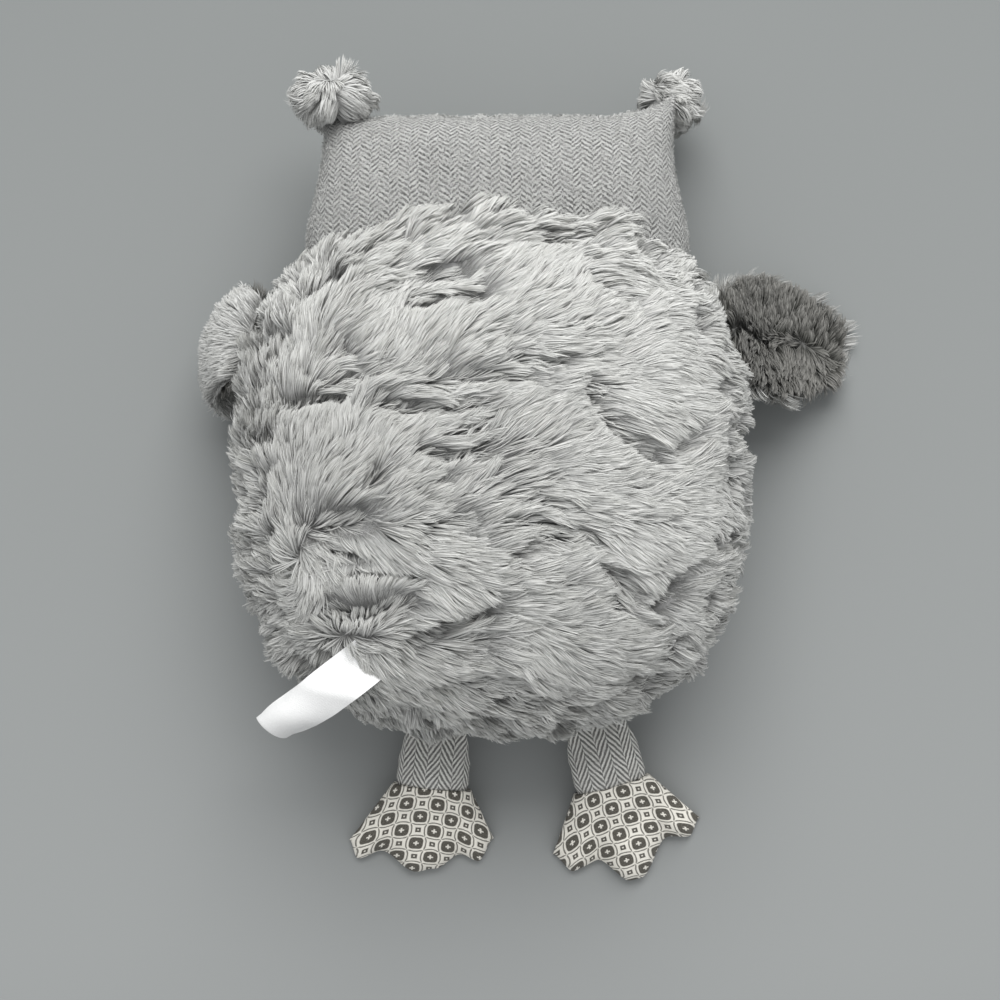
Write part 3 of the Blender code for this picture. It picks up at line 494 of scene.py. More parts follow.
def strand_places(shade):
    """Each strand's narrow place on its colour map: across by its shade, along from its root."""
    across = np.stack([shade - TINT_WIDTH, shade + TINT_WIDTH], 1)[:, None, :]
    across = np.repeat(across, STRAND_POINTS - 1, 1).reshape(len(shade), -1)
    u = np.concatenate([across, shade[:, None]], 1)
    rows = np.linspace(0.01, 0.99, STRAND_POINTS)
    v = np.concatenate([np.repeat(rows[:-1], 2), rows[-1:]])
    return np.stack([u, np.broadcast_to(v, u.shape)], -1)


def add_pile(name, lines, normals, tint, body, material, rng, width=STRAND_WIDTH, pieces=1):
    """Ribbons along the lines, split into pieces from the head end to the feet."""
    normals = np.broadcast_to(normals.reshape(len(lines), -1, 3), lines.shape)
    roll = rng.uniform(-0.6, 0.6, len(lines))[:, None, None]
    along = np.gradient(lines, axis=1)
    side = unit(np.cross(normals, along))
    side = side * np.cos(roll) + unit(np.cross(along, side)) * np.sin(roll)
    half = width / 2 * rng.uniform(0.7, 1.25, len(lines))[:, None] * np.array(STRAND_SHARES)
    offset = side[:, :-1] * half[..., None]
    pairs = np.stack([lines[:, :-1] - offset, lines[:, :-1] + offset], 2)
    points = np.concatenate([pairs.reshape(len(lines), -1, 3), lines[:, -1:]], 1)
    shade = np.clip(0.5 + 0.22 * tint + rng.normal(0, 0.13, len(lines)), 0.02, 0.98)
    places = strand_places(shade)
    each = 2 * STRAND_POINTS - 1
    quad = np.array([[i, i + 1, i + 3, i + 2] for i in range(0, each - 3, 2)])
    tip = np.array([[each - 3, each - 2, each - 1]])
    order = np.argsort(-lines[:, 0, 1], kind="stable")
    for i, part in enumerate(np.array_split(order, pieces)):
        start = (np.arange(len(part)) * each)[:, None, None]
        piece = make_mesh(
            name if pieces == 1 else f"{name}_{i + 1}",
            points[part].reshape(-1, 3),
            (quad + start).reshape(-1, 4),
            (tip + start).reshape(-1, 3),
            places[part].reshape(-1, 2),
            "OFBake",
        )
        wear(piece, material)
        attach(piece, body)


def comb_heading(spots):
    """The unit heading of the tips at map places, and how far the combed places there agree."""
    total = np.zeros((len(spots), 2))
    counts = np.zeros(len(spots))
    for row, places in COMBED.items():
        for across, heading in places:
            spot = seen_on_back(np.array(float(across)), np.array(float(row)))
            turn = math.radians(heading)
            count = 1 / (((spots - spot) ** 2).sum(1) + COMB_REACH**2) ** 2
            total += count[:, None] * np.array([math.cos(turn), math.sin(turn)])
            counts += count
    return unit(total), np.linalg.norm(total, axis=1) / counts


def side_partings():
    """Partings on the body's sides, where the photograph doesn't look."""
    rng = np.random.default_rng(11)
    made = []
    for out in SIDE_PARTING_OUTS:
        turn = rng.uniform(0, 0.4)
        while turn < 2 * np.pi:
            length = rng.uniform(0.10, 0.24)
            turns = np.linspace(turn, turn + length, 4)
            made.append(map_spot(turns, out + rng.normal(0, 0.012, 4) + 0.03 * np.sin(turns * 9)))
            turn += length + rng.uniform(0.04, 0.20)
    return made


def parting_segments():
    """Each parting's straight stretches on the map, with the strength at both their ends."""
    lines = [(strong, seen_on_back(*np.array(line, float).T)) for strong, line in PARTINGS]
    lines += [(SIDE_PARTING_STRENGTH, line) for line in side_partings()]
    segments = []
    for strong, line in lines:
        gone = gone_along(line, 0)
        fade = strong * smooth(np.minimum(gone, gone[-1] - gone) / PARTING_FADE + 0.2)
        for i in range(len(line) - 1):
            segments.append((line[i], line[i + 1], fade[i], fade[i + 1]))
    return segments


def cross2(p, q):
    return p[..., 0] * q[..., 1] - p[..., 1] * q[..., 0]


def near_partings(spots, segments):
    """How close a parting is, from 0 to 1, with the unit directions away from it and along it."""
    best = np.full(len(spots), np.inf)
    strong = np.zeros(len(spots))
    away = np.zeros((len(spots), 2))
    course = np.zeros((len(spots), 2))
    for start, end, s0, s1 in segments:
        run = end - start
        share = np.clip(((spots - start) @ run) / (run @ run), 0, 1)
        off = spots - (start + share[:, None] * run)
        gap = np.linalg.norm(off, axis=1)
        closer = gap < best
        best[closer] = gap[closer]
        strong[closer] = (s0 + (s1 - s0) * share)[closer]
        away[closer] = off[closer]
        course[closer] = run / np.linalg.norm(run)
    return strong * np.exp(-((best / PARTING_WIDTH) ** 2)), unit(away), course


def first_crossing(spots, heads, length, segments):
    """How far each strand may reach before it meets a parting, and that parting's strength."""
    reach = np.full(len(spots), np.inf)
    strength = np.zeros(len(spots))
    for start, end, s0, s1 in segments:
        run = end - start
        slant = cross2(heads, run[None])
        slant = np.where(np.abs(slant) < 1e-9, 1e-9, slant)
        to = start - spots
        along = cross2(to, run[None]) / slant
        share = cross2(to, heads) / slant
        hit = (share >= 0) & (share <= 1) & (along >= 0) & (along <= length) & (along < reach)
        reach[hit] = along[hit]
        strength[hit] = (s0 + (s1 - s0) * share)[hit]
    return reach, strength


def back_spots(rng):
    """Where the back's strands grow on the map, and how far out: fewer where the map is wide."""
    far = BODY_HALF_LENGTH * (SEAM_GONE + 0.06)
    line = np.arange(-far, far, PILE_SPACING)
    spots = np.stack(np.meshgrid(line, line), -1).reshape(-1, 2)
    spots = spots + rng.uniform(-0.5, 0.5, spots.shape) * PILE_SPACING
    out = map_polar(*spots.T)[2]
    thin = np.interp(out, GONE, REACH) / np.maximum(out, 0.3)
    keep = (out < SEAM_GONE + 0.030) & (rng.uniform(0, 1, len(spots)) < thin * 1.15)
    return spots[keep], out[keep]


def comb_back(spots, out, near, away, course):
    """The back's headings: as combed, outward on its sides and away from its partings."""
    heads, agreed = comb_heading(spots)
    heads = unit(heads + unit(spots) * (smooth((out - 0.88) / 0.35) * 1.1)[:, None])
    alike = np.abs((heads * course).sum(1)) ** 3
    return unit(heads + away * (near * (0.10 + 0.55 * alike))[:, None]), agreed


def back_pile(material):
    rng = np.random.default_rng(3)
    spots, out = back_spots(rng)
    swirl, fine, wisp = Ripple(0.020, 1), Ripple(0.007, 2), Ripple(0.0032, 6)
    bulge, dent, even = Ripple(0.017, 4), Ripple(0.006, 5), Ripple(0.0035, 7)
    segments = parting_segments()
    near, away, course = near_partings(spots, segments)
    heads, agreed = comb_back(spots, out, near, away, course)
    flat = np.concatenate([spots, np.zeros((len(spots), 1))], 1)
    middles, (by_broad, by_lock) = two_locks(flat, PILE_LOCKS, (4, 4), rng)
    flank = smooth((out - 0.76) / 0.20)
    crest = smooth((spots[:, 1] - CREST_START) / CREST_RUN)
    heads = unit(heads + 0.8 * heads[middles[0]] + 0.6 * heads[middles[1]])
    turn = 0.18 * swirl(*spots.T) + 0.10 * fine(*spots.T) + 0.06 * wisp(*spots.T)
    tangled = 1 - smooth((agreed - 0.25) / 0.50)
    turn += (0.18 + 0.26 * flank + 0.90 * tangled) * by_broad[0]
    turn += (0.10 + 0.16 * flank + 0.35 * tangled) * by_lock[0]
    cos, sin = np.cos(turn), np.sin(turn)
    heads = np.stack([heads[:, 0] * cos - heads[:, 1] * sin, heads[:, 0] * sin + heads[:, 1] * cos], -1)

    length = PILE_LENGTH * rng.uniform(0.84, 1.06, len(spots)) * (1 + 0.08 * even(*spots.T))
    length *= 1 + 0.14 * by_broad[1] + 0.14 * by_lock[1] + 0.12 * crest - 0.24 * flank * (1 - crest)
    reach, strength = first_crossing(spots, heads, length, segments)
    free = length * PILE_REACH_SHARE
    short = np.clip(reach + rng.uniform(-0.0032, 0.0010, len(spots)), SHORTEST_REACH, free)
    reach = np.where(strength > 0, free + (short - free) * strength, free)
    cut = 1 - reach / free
    rise = (PILE_RISE + 0.0018 * bulge(*spots.T) + 0.0010 * dent(*spots.T)) * (1 - 0.35 * cut)
    rise *= rng.uniform(0.80, 1.15, len(spots)) * (1 + 0.20 * by_broad[2] + 0.16 * by_lock[2])
    rise *= 1 + 0.45 * smooth((out - 0.80) / 0.25)
    rise += CREST_RISE * crest
    droop = PARTED_DROOP * smooth(cut * 3) * strength
    root = -SKIN_DEPTH - PARTING_DEPTH * near + 0.0012 * bulge(*spots.T)

    roots = np.concatenate([spots, root[:, None]], 1)
    up = np.broadcast_to([0.0, 0.0, 1.0], roots.shape)
    heads = np.concatenate([heads, np.zeros((len(heads), 1))], 1)
    bend = 0.16 * fine(*spots.T[::-1]) + rng.normal(0, 0.07, len(spots))
    lines = grow(roots, up, heads, reach, rise, bend, droop)
    gather(lines, heads, middles, PILE_GATHERS)
    tint = 0.6 * by_broad[3] + 0.4 * by_lock[3]
    places, normals = body_place(lines[..., 0], lines[..., 1], lines[..., 2])
    add_pile("back_pile", places, normals, tint, "torso", material, rng, pieces=PILE_PIECES)


def map_disc(out_from, out_to, rings, turns, height):
    """Rings of points over the body's map from one distance out to another, and their places."""
    turn = np.linspace(0, 2 * np.pi, turns, endpoint=False)
    places = map_spot(turn, np.linspace(out_from, out_to, rings)[:, None])
    a, b = places[..., 0], places[..., 1]
    return body_place(a, b, height(a, b))[0], places


def body_skins(backing, tweed):
    """The pile's backing, down to the side seam, and the belly panel under it."""
    segments = parting_segments()
    wrinkle, dent = Ripple(0.021, 21), Ripple(0.009, 22)
    last = float(GONE[-1])

    def sunk(a, b):
        near = near_partings(np.stack([a.ravel(), b.ravel()], -1), segments)[0]
        return -PARTING_DEPTH * near.reshape(a.shape) - SKIN_DEPTH - 0.001

    def rumpled(a, b):
        out = map_polar(a, b)[2]
        free = smooth((out - SEAM_GONE) / 0.05) * smooth((last - BELLY_FLAT - out) / 0.2)
        tuck = SKIN_DEPTH * (1 - smooth((out - SEAM_GONE) / 0.16))
        return free * (BELLY_WRINKLE * wrinkle(a, b) + BELLY_DENT * dent(a, b)) - tuck - 0.0004

    grid, _ = map_disc(0.01, SEAM_GONE + 0.02, 120, 240, sunk)
    back = grid_mesh("back_backing", grid, ring_faces)
    change_mesh(back, fill_holes)
    dress(back, backing, "torso", "body_back_fur", "body_filling")

    grid, places = map_disc(SEAM_GONE - 0.01, last - 0.01, 90, 180, rumpled)
    grid[..., 2] = np.maximum(grid[..., 2], FLOOR_CLEAR)
    belly = grid_mesh("belly_panel", grid, ring_faces, places)
    change_mesh(belly, fill_holes)
    dress(belly, tweed, "torso", "body_belly", fill=0.8)


# Head

FACE_LOW, FACE_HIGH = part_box("head_face")
HEAD_SHIFT = 0.0030
HEAD_NECK_HALF_WIDTH = 0.1070
HEAD_TOP_HALF_WIDTH = 0.0985
HEAD_HALF_LENGTH = 0.0690
HEAD_MIDDLE = 0.1285
HEAD_SEAM_HEIGHT = 0.0580
HEAD_BACK_DEPTH = 0.0500
HEAD_FACE_DEPTH = FACE_HIGH.z - FACE_LOW.z
HEAD_WIDTH_POWER = 2.9
HEAD_LENGTH_POWER = 2.6
EAR_POINT_POWER = 6
EAR_DRAW_OUT = {"left": (-0.0005, 0.0010), "right": (0.0025, 0.0140)}
SIDE_DRAW_IN = 0.0030
HEAD_SWELL = 0.0022
TOP_PUCKER = 0.0030
SIDE_PUCKER = 0.0016
FUZZ_SPACING = 0.0012
FUZZ_LENGTH = 0.0034
FUZZ_WIDTH = 0.00022
NECK_TURN = 0.62  # radians from the head's lower end to where the body covers it


def head_half_width(v):
    straight = HEAD_NECK_HALF_WIDTH + (HEAD_TOP_HALF_WIDTH - HEAD_NECK_HALF_WIDTH) * smooth(v)
    return straight - SIDE_DRAW_IN * np.sin(np.pi * np.clip(v, 0, 1))


def head_surface(u_angle, v_angle, side):
    """Points of the head: side is 1 on its back and -1 on its face."""
    thin_u, u = rounded(u_angle, HEAD_WIDTH_POWER)
    thin_v, v = rounded(v_angle, HEAD_LENGTH_POWER)
    corner = (np.abs(u) * np.maximum(v, 0)) ** EAR_POINT_POWER
    draw_x, draw_y = (
        np.where(u > 0, right, left)
        for left, right in zip(EAR_DRAW_OUT["left"], EAR_DRAW_OUT["right"])
    )
    x = HEAD_SHIFT + u * head_half_width(v) + np.sign(u) * draw_x * corner
    y = HEAD_MIDDLE + v * HEAD_HALF_LENGTH + draw_y * corner
    wave = Ripple(0.011, 31 if side > 0 else 32)
    broad = Ripple(0.030, 33 if side > 0 else 34)
    top = np.maximum(v, 0) ** 5
    tuck = np.abs(wave(x, np.zeros_like(x)))
    height = HEAD_BACK_DEPTH if side > 0 else HEAD_FACE_DEPTH
    height = height + HEAD_SWELL * broad(x, y) - TOP_PUCKER * top * tuck
    height = height - SIDE_PUCKER * np.abs(u) ** 8 * np.abs(wave(y, np.zeros_like(y)))
    y = y - SIDE_PUCKER * top * (1 - corner) * tuck
    return np.stack([x, y, HEAD_SEAM_HEIGHT + side * thin_u * thin_v * height], -1)


def cloth_places(grid):
    """Each grid point's place on the flat cloth, by the distances along its row and column."""
    middle = grid.shape[1] // 2
    across = gone_along(grid, 1)
    along = gone_along(grid, 0)
    return np.stack([across - across[:, [middle]], 0.35 * along + 0.65 * along[:, [middle]]], -1)


def add_fuzz(panel, name, material, seed):
    """Loose short fibres that stand off a cloth every way."""
    rng = np.random.default_rng(seed)
    where, normals = scatter(panel, FUZZ_SPACING, rng)
    heads = along_skin(rng.normal(0, 1, where.shape), normals)
    length = FUZZ_LENGTH * rng.uniform(0.5, 1.2, len(where))
    rise = length * rng.uniform(0.05, 0.45, len(where))
    lines = grow(where, normals, heads, length * 0.8, rise, rng.normal(0, 0.4, len(where)))
    tint = rng.uniform(-1, 1, len(where))
    add_pile(name, lines, normals, tint, "torso", material, rng, width=FUZZ_WIDTH)


def head_panels(tweed, loose):
    u = np.linspace(-np.pi / 2, np.pi / 2, 150)
    v = np.linspace(-np.pi / 2 + NECK_TURN, np.pi / 2, 110)
    for name, side, seed, nodes in (
        ("head_back", 1, 35, ("head_back", "head_filling")),
        ("head_face", -1, 36, ("head_face",)),
    ):
        grid = head_surface(*np.meshgrid(u, v), side)
        panel = grid_mesh(f"{name}_panel", grid, sheet_faces, cloth_places(grid), flip=side < 0)
        dress(panel, tweed, "torso", *nodes, fill=0.75)
        add_fuzz(panel, f"{name}_fuzz", loose, seed)


# Legs and feet

LEG_LENGTHS = {"left": 0.0463, "right": 0.0512}
LEG_ROOT_HALF_WIDTH = 0.0160
LEG_ROOT_HALF_THICKNESS = 0.0006
LEG_SWELL_SHARE = 0.75
LEG_CREASES = {"left": 41, "right": 42}  # seeds
LEG_CREASE = 0.05
ANKLE_PINCH = 0.10
ANKLE_HALF_WIDTH = 0.0232
ANKLE_HALF_THICKNESS = 0.0125
ANKLE_HEIGHT = 0.0160
LEG_POWER = 2.2
FOOT_HALF_WIDTHS = {"left": 0.0432, "right": 0.0456}
FOOT_SHIFTS = {"left": -0.0035, "right": 0.0007}
# How far a foot reaches at shares of its half width: its side toes, notches and middle toe
FOOT_REACHES = {
    "left": ((-1.0, 0.0395), (-0.86, 0.0500), (-0.53, 0.0440), (-0.05, 0.0545), (0.22, 0.0515),
             (0.56, 0.0415), (0.82, 0.0445), (1.0, 0.0300)),
    "right": ((-1.0, 0.0340), (-0.80, 0.0470), (-0.45, 0.0445), (-0.10, 0.0615), (0.04, 0.0615),
              (0.52, 0.0420), (0.80, 0.0450), (1.0, 0.0360)),
}
FOOT_NOTCHES = {"left": (-0.53, 0.56), "right": (-0.45, 0.52)}
FOOT_DENTS = {"left": 51, "right": 52}  # seeds
ROW_SAG = 7.5  # per metre: how the foot cloth's rows bend down towards its sides
TOE_GROOVE_SHARE = 0.45
TOE_GROOVE_WIDTH_SHARE = 0.11
FOOT_THIN_SHARE = 0.8
FOOT_TIP_POWER = 3
SOLE_DROP_SHARE = 0.5
FLOOR_GAP = 0.0004


def leg_points(side, along, across, height):
    """Points beside the leg's line on the floor, at their heights."""
    origin, axis = joint_line(f"{side}_hip_seam")
    out = unit(np.cross(axis, [0, 0, 1]))
    if out[1] > 0:
        out = -out
    sideways = np.cross([0, 0, 1], out)
    flat = origin + out * np.asarray(along)[..., None] + sideways * np.asarray(across)[..., None]
    flat[..., 2] = height
    return flat


def add_leg(side, tweed):
    share = np.linspace(0, 1, 34)[:, None]
    turn = np.linspace(0, 2 * np.pi, 60, endpoint=False)[None, :]
    swell = smooth(share / LEG_SWELL_SHARE)
    width = LEG_ROOT_HALF_WIDTH + (ANKLE_HALF_WIDTH - LEG_ROOT_HALF_WIDTH) * share
    thick = LEG_ROOT_HALF_THICKNESS + (ANKLE_HALF_THICKNESS - LEG_ROOT_HALF_THICKNESS) * swell
    pinch = 1 - ANKLE_PINCH * smooth((share - 0.90) / 0.10)
    crease = Ripple(0.009, LEG_CREASES[side])
    across, up = rounded(turn, LEG_POWER)
    hip_height = joint_line(f"{side}_hip_seam")[0][2]
    middle = hip_height + (ANKLE_HEIGHT - hip_height) * share
    length = LEG_LENGTHS[side] * share
    girth = pinch * (1 + LEG_CREASE * crease(length * 1.5, np.sin(turn) * 0.02))
    grid = leg_points(side, length + 0 * turn, width * across * girth, middle + thick * up * girth)
    columns = grid.shape[1]
    round_leg = gone_along(np.concatenate([grid, grid[:, :1]], 1), 1)
    places = np.stack([round_leg - round_leg[:, [columns // 4]], length + 0 * round_leg], -1)
    leg = grid_mesh(f"leg_{side}_cloth", grid, ring_faces, places[:, :columns])
    change_mesh(leg, fill_holes)
    dress(leg, tweed, f"{side}_leg", f"leg_{side}", fill=0.85)


def toe_reach(side, q):
    places, lengths = np.array(FOOT_REACHES[side]).T
    i = np.clip(np.searchsorted(places, q, side="right") - 1, 0, len(places) - 2)
    share = (q - places[i]) / (places[i + 1] - places[i])
    return lengths[i] + (lengths[i + 1] - lengths[i]) * smooth(share)


def foot_half_thickness(side, share, q):
    body = ANKLE_HALF_THICKNESS * (1 - share**FOOT_TIP_POWER) ** (1 / LEG_POWER)
    body = body * (1 + (FOOT_THIN_SHARE - 1) * smooth(share))
    across = np.maximum(1 - np.abs(q) ** LEG_POWER, 0) ** (1 / LEG_POWER)
    groove = sum(np.exp(-(((q - notch) / TOE_GROOVE_WIDTH_SHARE) ** 2)) for notch in FOOT_NOTCHES[side])
    return body * (1 - TOE_GROOVE_SHARE * groove * share**2) * across


def join_halves(bm):
    bmesh.ops.remove_doubles(bm, verts=bm.verts[:], dist=0.00002)
    bmesh.ops.dissolve_degenerate(bm, edges=bm.edges[:], dist=0.00001)


def add_foot(side, lattice):
    rows, columns = 56, 90
    share = np.linspace(0, 1, rows)[:, None] + np.zeros((1, columns))
    angle = np.linspace(np.pi, 0, columns)[None, :] + np.zeros((rows, 1))
    q = rounded(angle, LEG_POWER)[0]
    half_width = ANKLE_HALF_WIDTH + (FOOT_HALF_WIDTHS[side] - ANKLE_HALF_WIDTH) * share
    thick = foot_half_thickness(side, share, q)
    tallest = foot_half_thickness(side, share, 0 * q)
    sole = ANKLE_HEIGHT - ANKLE_HALF_THICKNESS
    sole = sole + (FLOOR_GAP - sole) * smooth(share / SOLE_DROP_SHARE)
    soft = Ripple(0.008, FOOT_DENTS[side])
    along = LEG_LENGTHS[side] + share * toe_reach(side, q)
    aside = half_width * q + FOOT_SHIFTS[side] * share
    points, faces, places = [], [], []
    for way in (1, -1):
        bumpy = thick * (1 + (0.10 * soft(along, aside) if way > 0 else 0))
        height = np.maximum(sole + tallest + way * bumpy, FLOOR_GAP / 2)
        flat = sheet_faces(rows, columns) + len(points) * rows * columns
        points.append(leg_points(side, along, aside, height).reshape(-1, 3))
        faces.append(flat if way > 0 else flat[:, ::-1])
        girth = gone_along(np.stack([aside, height], -1), 1)
        girth = (girth - girth[:, [columns // 2]]) * (1 - 0.1 * share)
        places.append(np.stack([girth, along - ROW_SAG * aside**2], -1).reshape(-1, 2))
    points, faces, places = map(np.concatenate, (points, faces, places))
    foot = make_mesh(f"foot_{side}_cloth", points, faces, (), places)
    change_mesh(foot, join_halves)
    foot.data.shade_smooth()
    change_mesh(foot, fill_holes)
    dress(foot, lattice, f"{side}_leg", f"foot_{side}", fill=0.85)


# Pieces grown on the shape of CAD nodes


def soft_union(name, nodes, voxel, rounds):
    """One soft skin round several nodes."""
    points, faces = [], []
    for node in nodes:
        node_points, _, node_faces = mesh_arrays(frame["nodes"][node].data)
        faces.append(node_faces + sum(map(len, points)))
        points.append(node_points)
    made = make_mesh(name, np.concatenate(points), (), np.concatenate(faces))
    remesh = made.modifiers.new("remesh", "REMESH")
    remesh.mode = "VOXEL"
    remesh.voxel_size = voxel
    relax = made.modifiers.new("relax", "SMOOTH")
    relax.factor = 0.5
    relax.iterations = rounds
    bpy.context.view_layer.update()
    done = bpy.data.meshes.new_from_object(made.evaluated_get(bpy.context.evaluated_depsgraph_get()))
    made.modifiers.clear()
    made.data = done
    done.name = name
    done.shade_smooth()
    return made


def scatter(piece, spacing, rng):
    """Random places on a piece's surface, about one per spacing squared, with their normals."""
    points, normals, faces = mesh_arrays(piece.data)
    a, b, c = points[faces.T]
    area = np.linalg.norm(np.cross(b - a, c - a), axis=1) / 2
    count = int(area.sum() / spacing**2)
    pick = rng.choice(len(faces), count, p=area / area.sum())
    u, v = rng.uniform(0, 1, (2, count))
    flip = u + v > 1
    u[flip], v[flip] = 1 - u[flip], 1 - v[flip]
    share = np.stack([1 - u - v, u, v], -1)[..., None]
    return (points[faces[pick]] * share).sum(1), unit((normals[faces[pick]] * share).sum(1))


def closeness(where, node):
    points, _, faces = mesh_arrays(frame["nodes"][node].data)
    tree = BVHTree.FromPolygons(points.tolist(), faces.tolist())
    return np.array([tree.find_nearest(Vector(p))[3] for p in where])


WING_SEEDS = {"left": 61, "right": 62}
WING_PILE_LENGTHS = {"left": 0.0095, "right": 0.0150}
WING_PILE_LIFTS = {"left": 0.36, "right": 0.35}
WING_PILE_WIDTHS = {"left": 0.00048, "right": 0.00062}
WING_LOCKS = (110, 14)
WING_LOCK_TURNS = {"left": 0.20, "right": 0.34}
WING_LOCK_PULLS = {"left": 0.18, "right": 0.40}
WING_SPREADS = {"left": 0.15, "right": 0.90}  # how much the fur points out from the wing's middle
LINING_PILE_LENGTH = 0.0100
LINING_PILE_LIFT = 0.50
WING_SPACING = 0.00068
WING_ROOT_REACH = 0.150  # how far from the middle the wing's root lies bare of the long pile
LINING_PARTING = ((0.135, 0.079), (0.160, 0.078), (0.178, 0.074), (0.195, 0.066))


def lining_heads(spots):
    """The lining's pile parts along one line: up over it, and back and down below it."""
    x, y = np.abs(spots[:, 0]), spots[:, 1]
    middle = np.interp(x, *zip(*LINING_PARTING)) + 0.005 * Ripple(0.012, 63)(x, y)
    below = smooth((middle - y) / 0.012 + 0.5)
    back = np.interp(x, (0.145, 0.180, 0.198), (-0.8, -0.5, 0.7))
    across = 0.25 * (1 - below) + back * below
    along = 1.0 - 2.0 * below
    return np.stack([across * np.sign(spots[:, 0]), along, 0 * along], -1)


def wing_heads(side, spots, normals, middle):
    """The fur points away from the wing's root and its fold, and out from its middle."""
    root, axis = joint_line(f"{side}_wing_seam")
    heads = unit(np.cross(np.cross(normals, spots - root), normals))
    fold = unit(np.cross(axis, normals))
    sign = np.sign((fold * heads).sum(1))[:, None]
    return unit(heads * 0.7 + fold * sign) + WING_SPREADS[side] * unit(spots - middle)


def wing_pile(side, name, spots, normals, heads, length, lift, material, rng):
    middles, (by_broad, by_lock) = two_locks(spots, WING_LOCKS, (5, 5), rng)
    heads = unit(heads) + 0.8 * unit(heads)[middles[0]]
    heads = unit(heads) + WING_LOCK_TURNS[side] * by_broad[:3].T + 0.14 * by_lock[:3].T
    heads = along_skin(heads, normals)
    reach = length * rng.uniform(0.8, 1.08, len(spots)) * (1 + 0.16 * by_broad[3])
    rise = reach * lift * (1 + 0.25 * by_lock[3]) * rng.uniform(0.8, 1.2, len(spots))
    rise = np.minimum(rise, np.maximum(spots[:, 2] + 0.02, 0.001))
    lines = grow(spots, normals, heads, reach, rise, rng.normal(0, 0.06, len(spots)), 0.25 * rise)
    gather(lines, heads, middles, (0.7 * WING_LOCK_PULLS[side], WING_LOCK_PULLS[side]))
    lines[..., 2] = np.maximum(lines[..., 2], PILE_LOWEST)
    tint = 0.5 * by_broad[4] + 0.5 * by_lock[4]
    width = WING_PILE_WIDTHS[side]
    add_pile(f"wing_{side}_{name}", lines, normals, tint, f"{side}_wing", material, rng, width)


def add_wing(side, backing, light, dark):
    """A two-sided wing: long light pile on its fur layer, short dark pile on its lining."""
    layers = (f"wing_{side}_fur", f"wing_{side}_lining")
    skin = soft_union(f"wing_{side}_backing", layers, 0.0013, 6)
    dress(skin, backing, f"{side}_wing", *layers, fill=0.35)

    rng = np.random.default_rng(WING_SEEDS[side])
    where, facing = scatter(skin, WING_SPACING, rng)
    on_fur = closeness(where, layers[0]) < closeness(where, layers[1])
    if side == "left":
        on_fur |= facing[:, 2] > -0.30
    else:
        on_fur &= (facing[:, 2] < 0.1) | (where[:, 0] > WING_ROOT_REACH)
    spots, normals = where[on_fur], facing[on_fur]
    heads = wing_heads(side, spots, normals, where.mean(0))
    length, lift = WING_PILE_LENGTHS[side], WING_PILE_LIFTS[side]
    wing_pile(side, "pile", spots, normals, heads, length, lift, light, rng)
    spots, normals = where[~on_fur], facing[~on_fur]
    length, lift = LINING_PILE_LENGTH, LINING_PILE_LIFT
    wing_pile(side, "lining_pile", spots, normals, lining_heads(spots), length, lift, dark, rng)


TUFT_SEEDS = {"left": 71, "right": 72}
TUFT_SPACING = 0.00055
TUFT_LENGTH = 0.0120
TUFT_RISE = 0.0062
TUFT_WIDTH = 0.00062
TUFT_DROOP = 0.50  # the share of the ball's own curve that its strands follow
TUFT_NECK = 0.012  # the stretch from its seam over which the ball leaves the CAD node's shape
TUFT_SHRINK = 0.92
TUFT_SHIFTS = {"left": (0.0025, -0.0050, 0.0), "right": (-0.0010, -0.0028, 0.0)}
TUFT_SCALES = {"left": (1.08, 0.62, 0.84), "right": (0.88, 0.88, 0.86)}
TUFT_CROWNS = {"left": (-0.002, 0.007, 0.015), "right": (-0.013, 0.006, 0.011)}
TUFT_LOBES = 34
TUFT_NARROW_LOCK = 20
TUFT_GATHERS = (0.20, 0.36)
TUFT_STRAYS = {"left": (0.005, 0.009, 0.006), "right": (-0.013, 0.005, 0.004)}
TUFT_STRAY_SIZE = 0.0030
TUFT_STRAY_HEADING = (0.0, 1.0, 0.15)


def tuft_core(side, backing):
    """A tuft's ball, drawn out from its seam, and the ball's middle."""
    node = f"ear_tuft_{side}"
    skin = soft_union(f"{node}_core", (node,), 0.0016, 8)
    points = np.array([v.co for v in skin.data.vertices])
    seam = joint_line(f"{side}_ear_tuft_seam")[0]
    pull = smooth(np.linalg.norm(points - seam, axis=1) / TUFT_NECK)[:, None]
    was = node_middle(node)
    middle = was + np.array(TUFT_SHIFTS[side])
    goal = middle + (points - was) * TUFT_SHRINK * np.array(TUFT_SCALES[side])
    points = points + (goal - points) * pull
    skin.data.vertices.foreach_set("co", points.ravel().astype(np.float32))
    skin.data.update()
    dress(skin, backing, f"{side}_ear_tuft", node, fill=0.6)
    return skin, middle


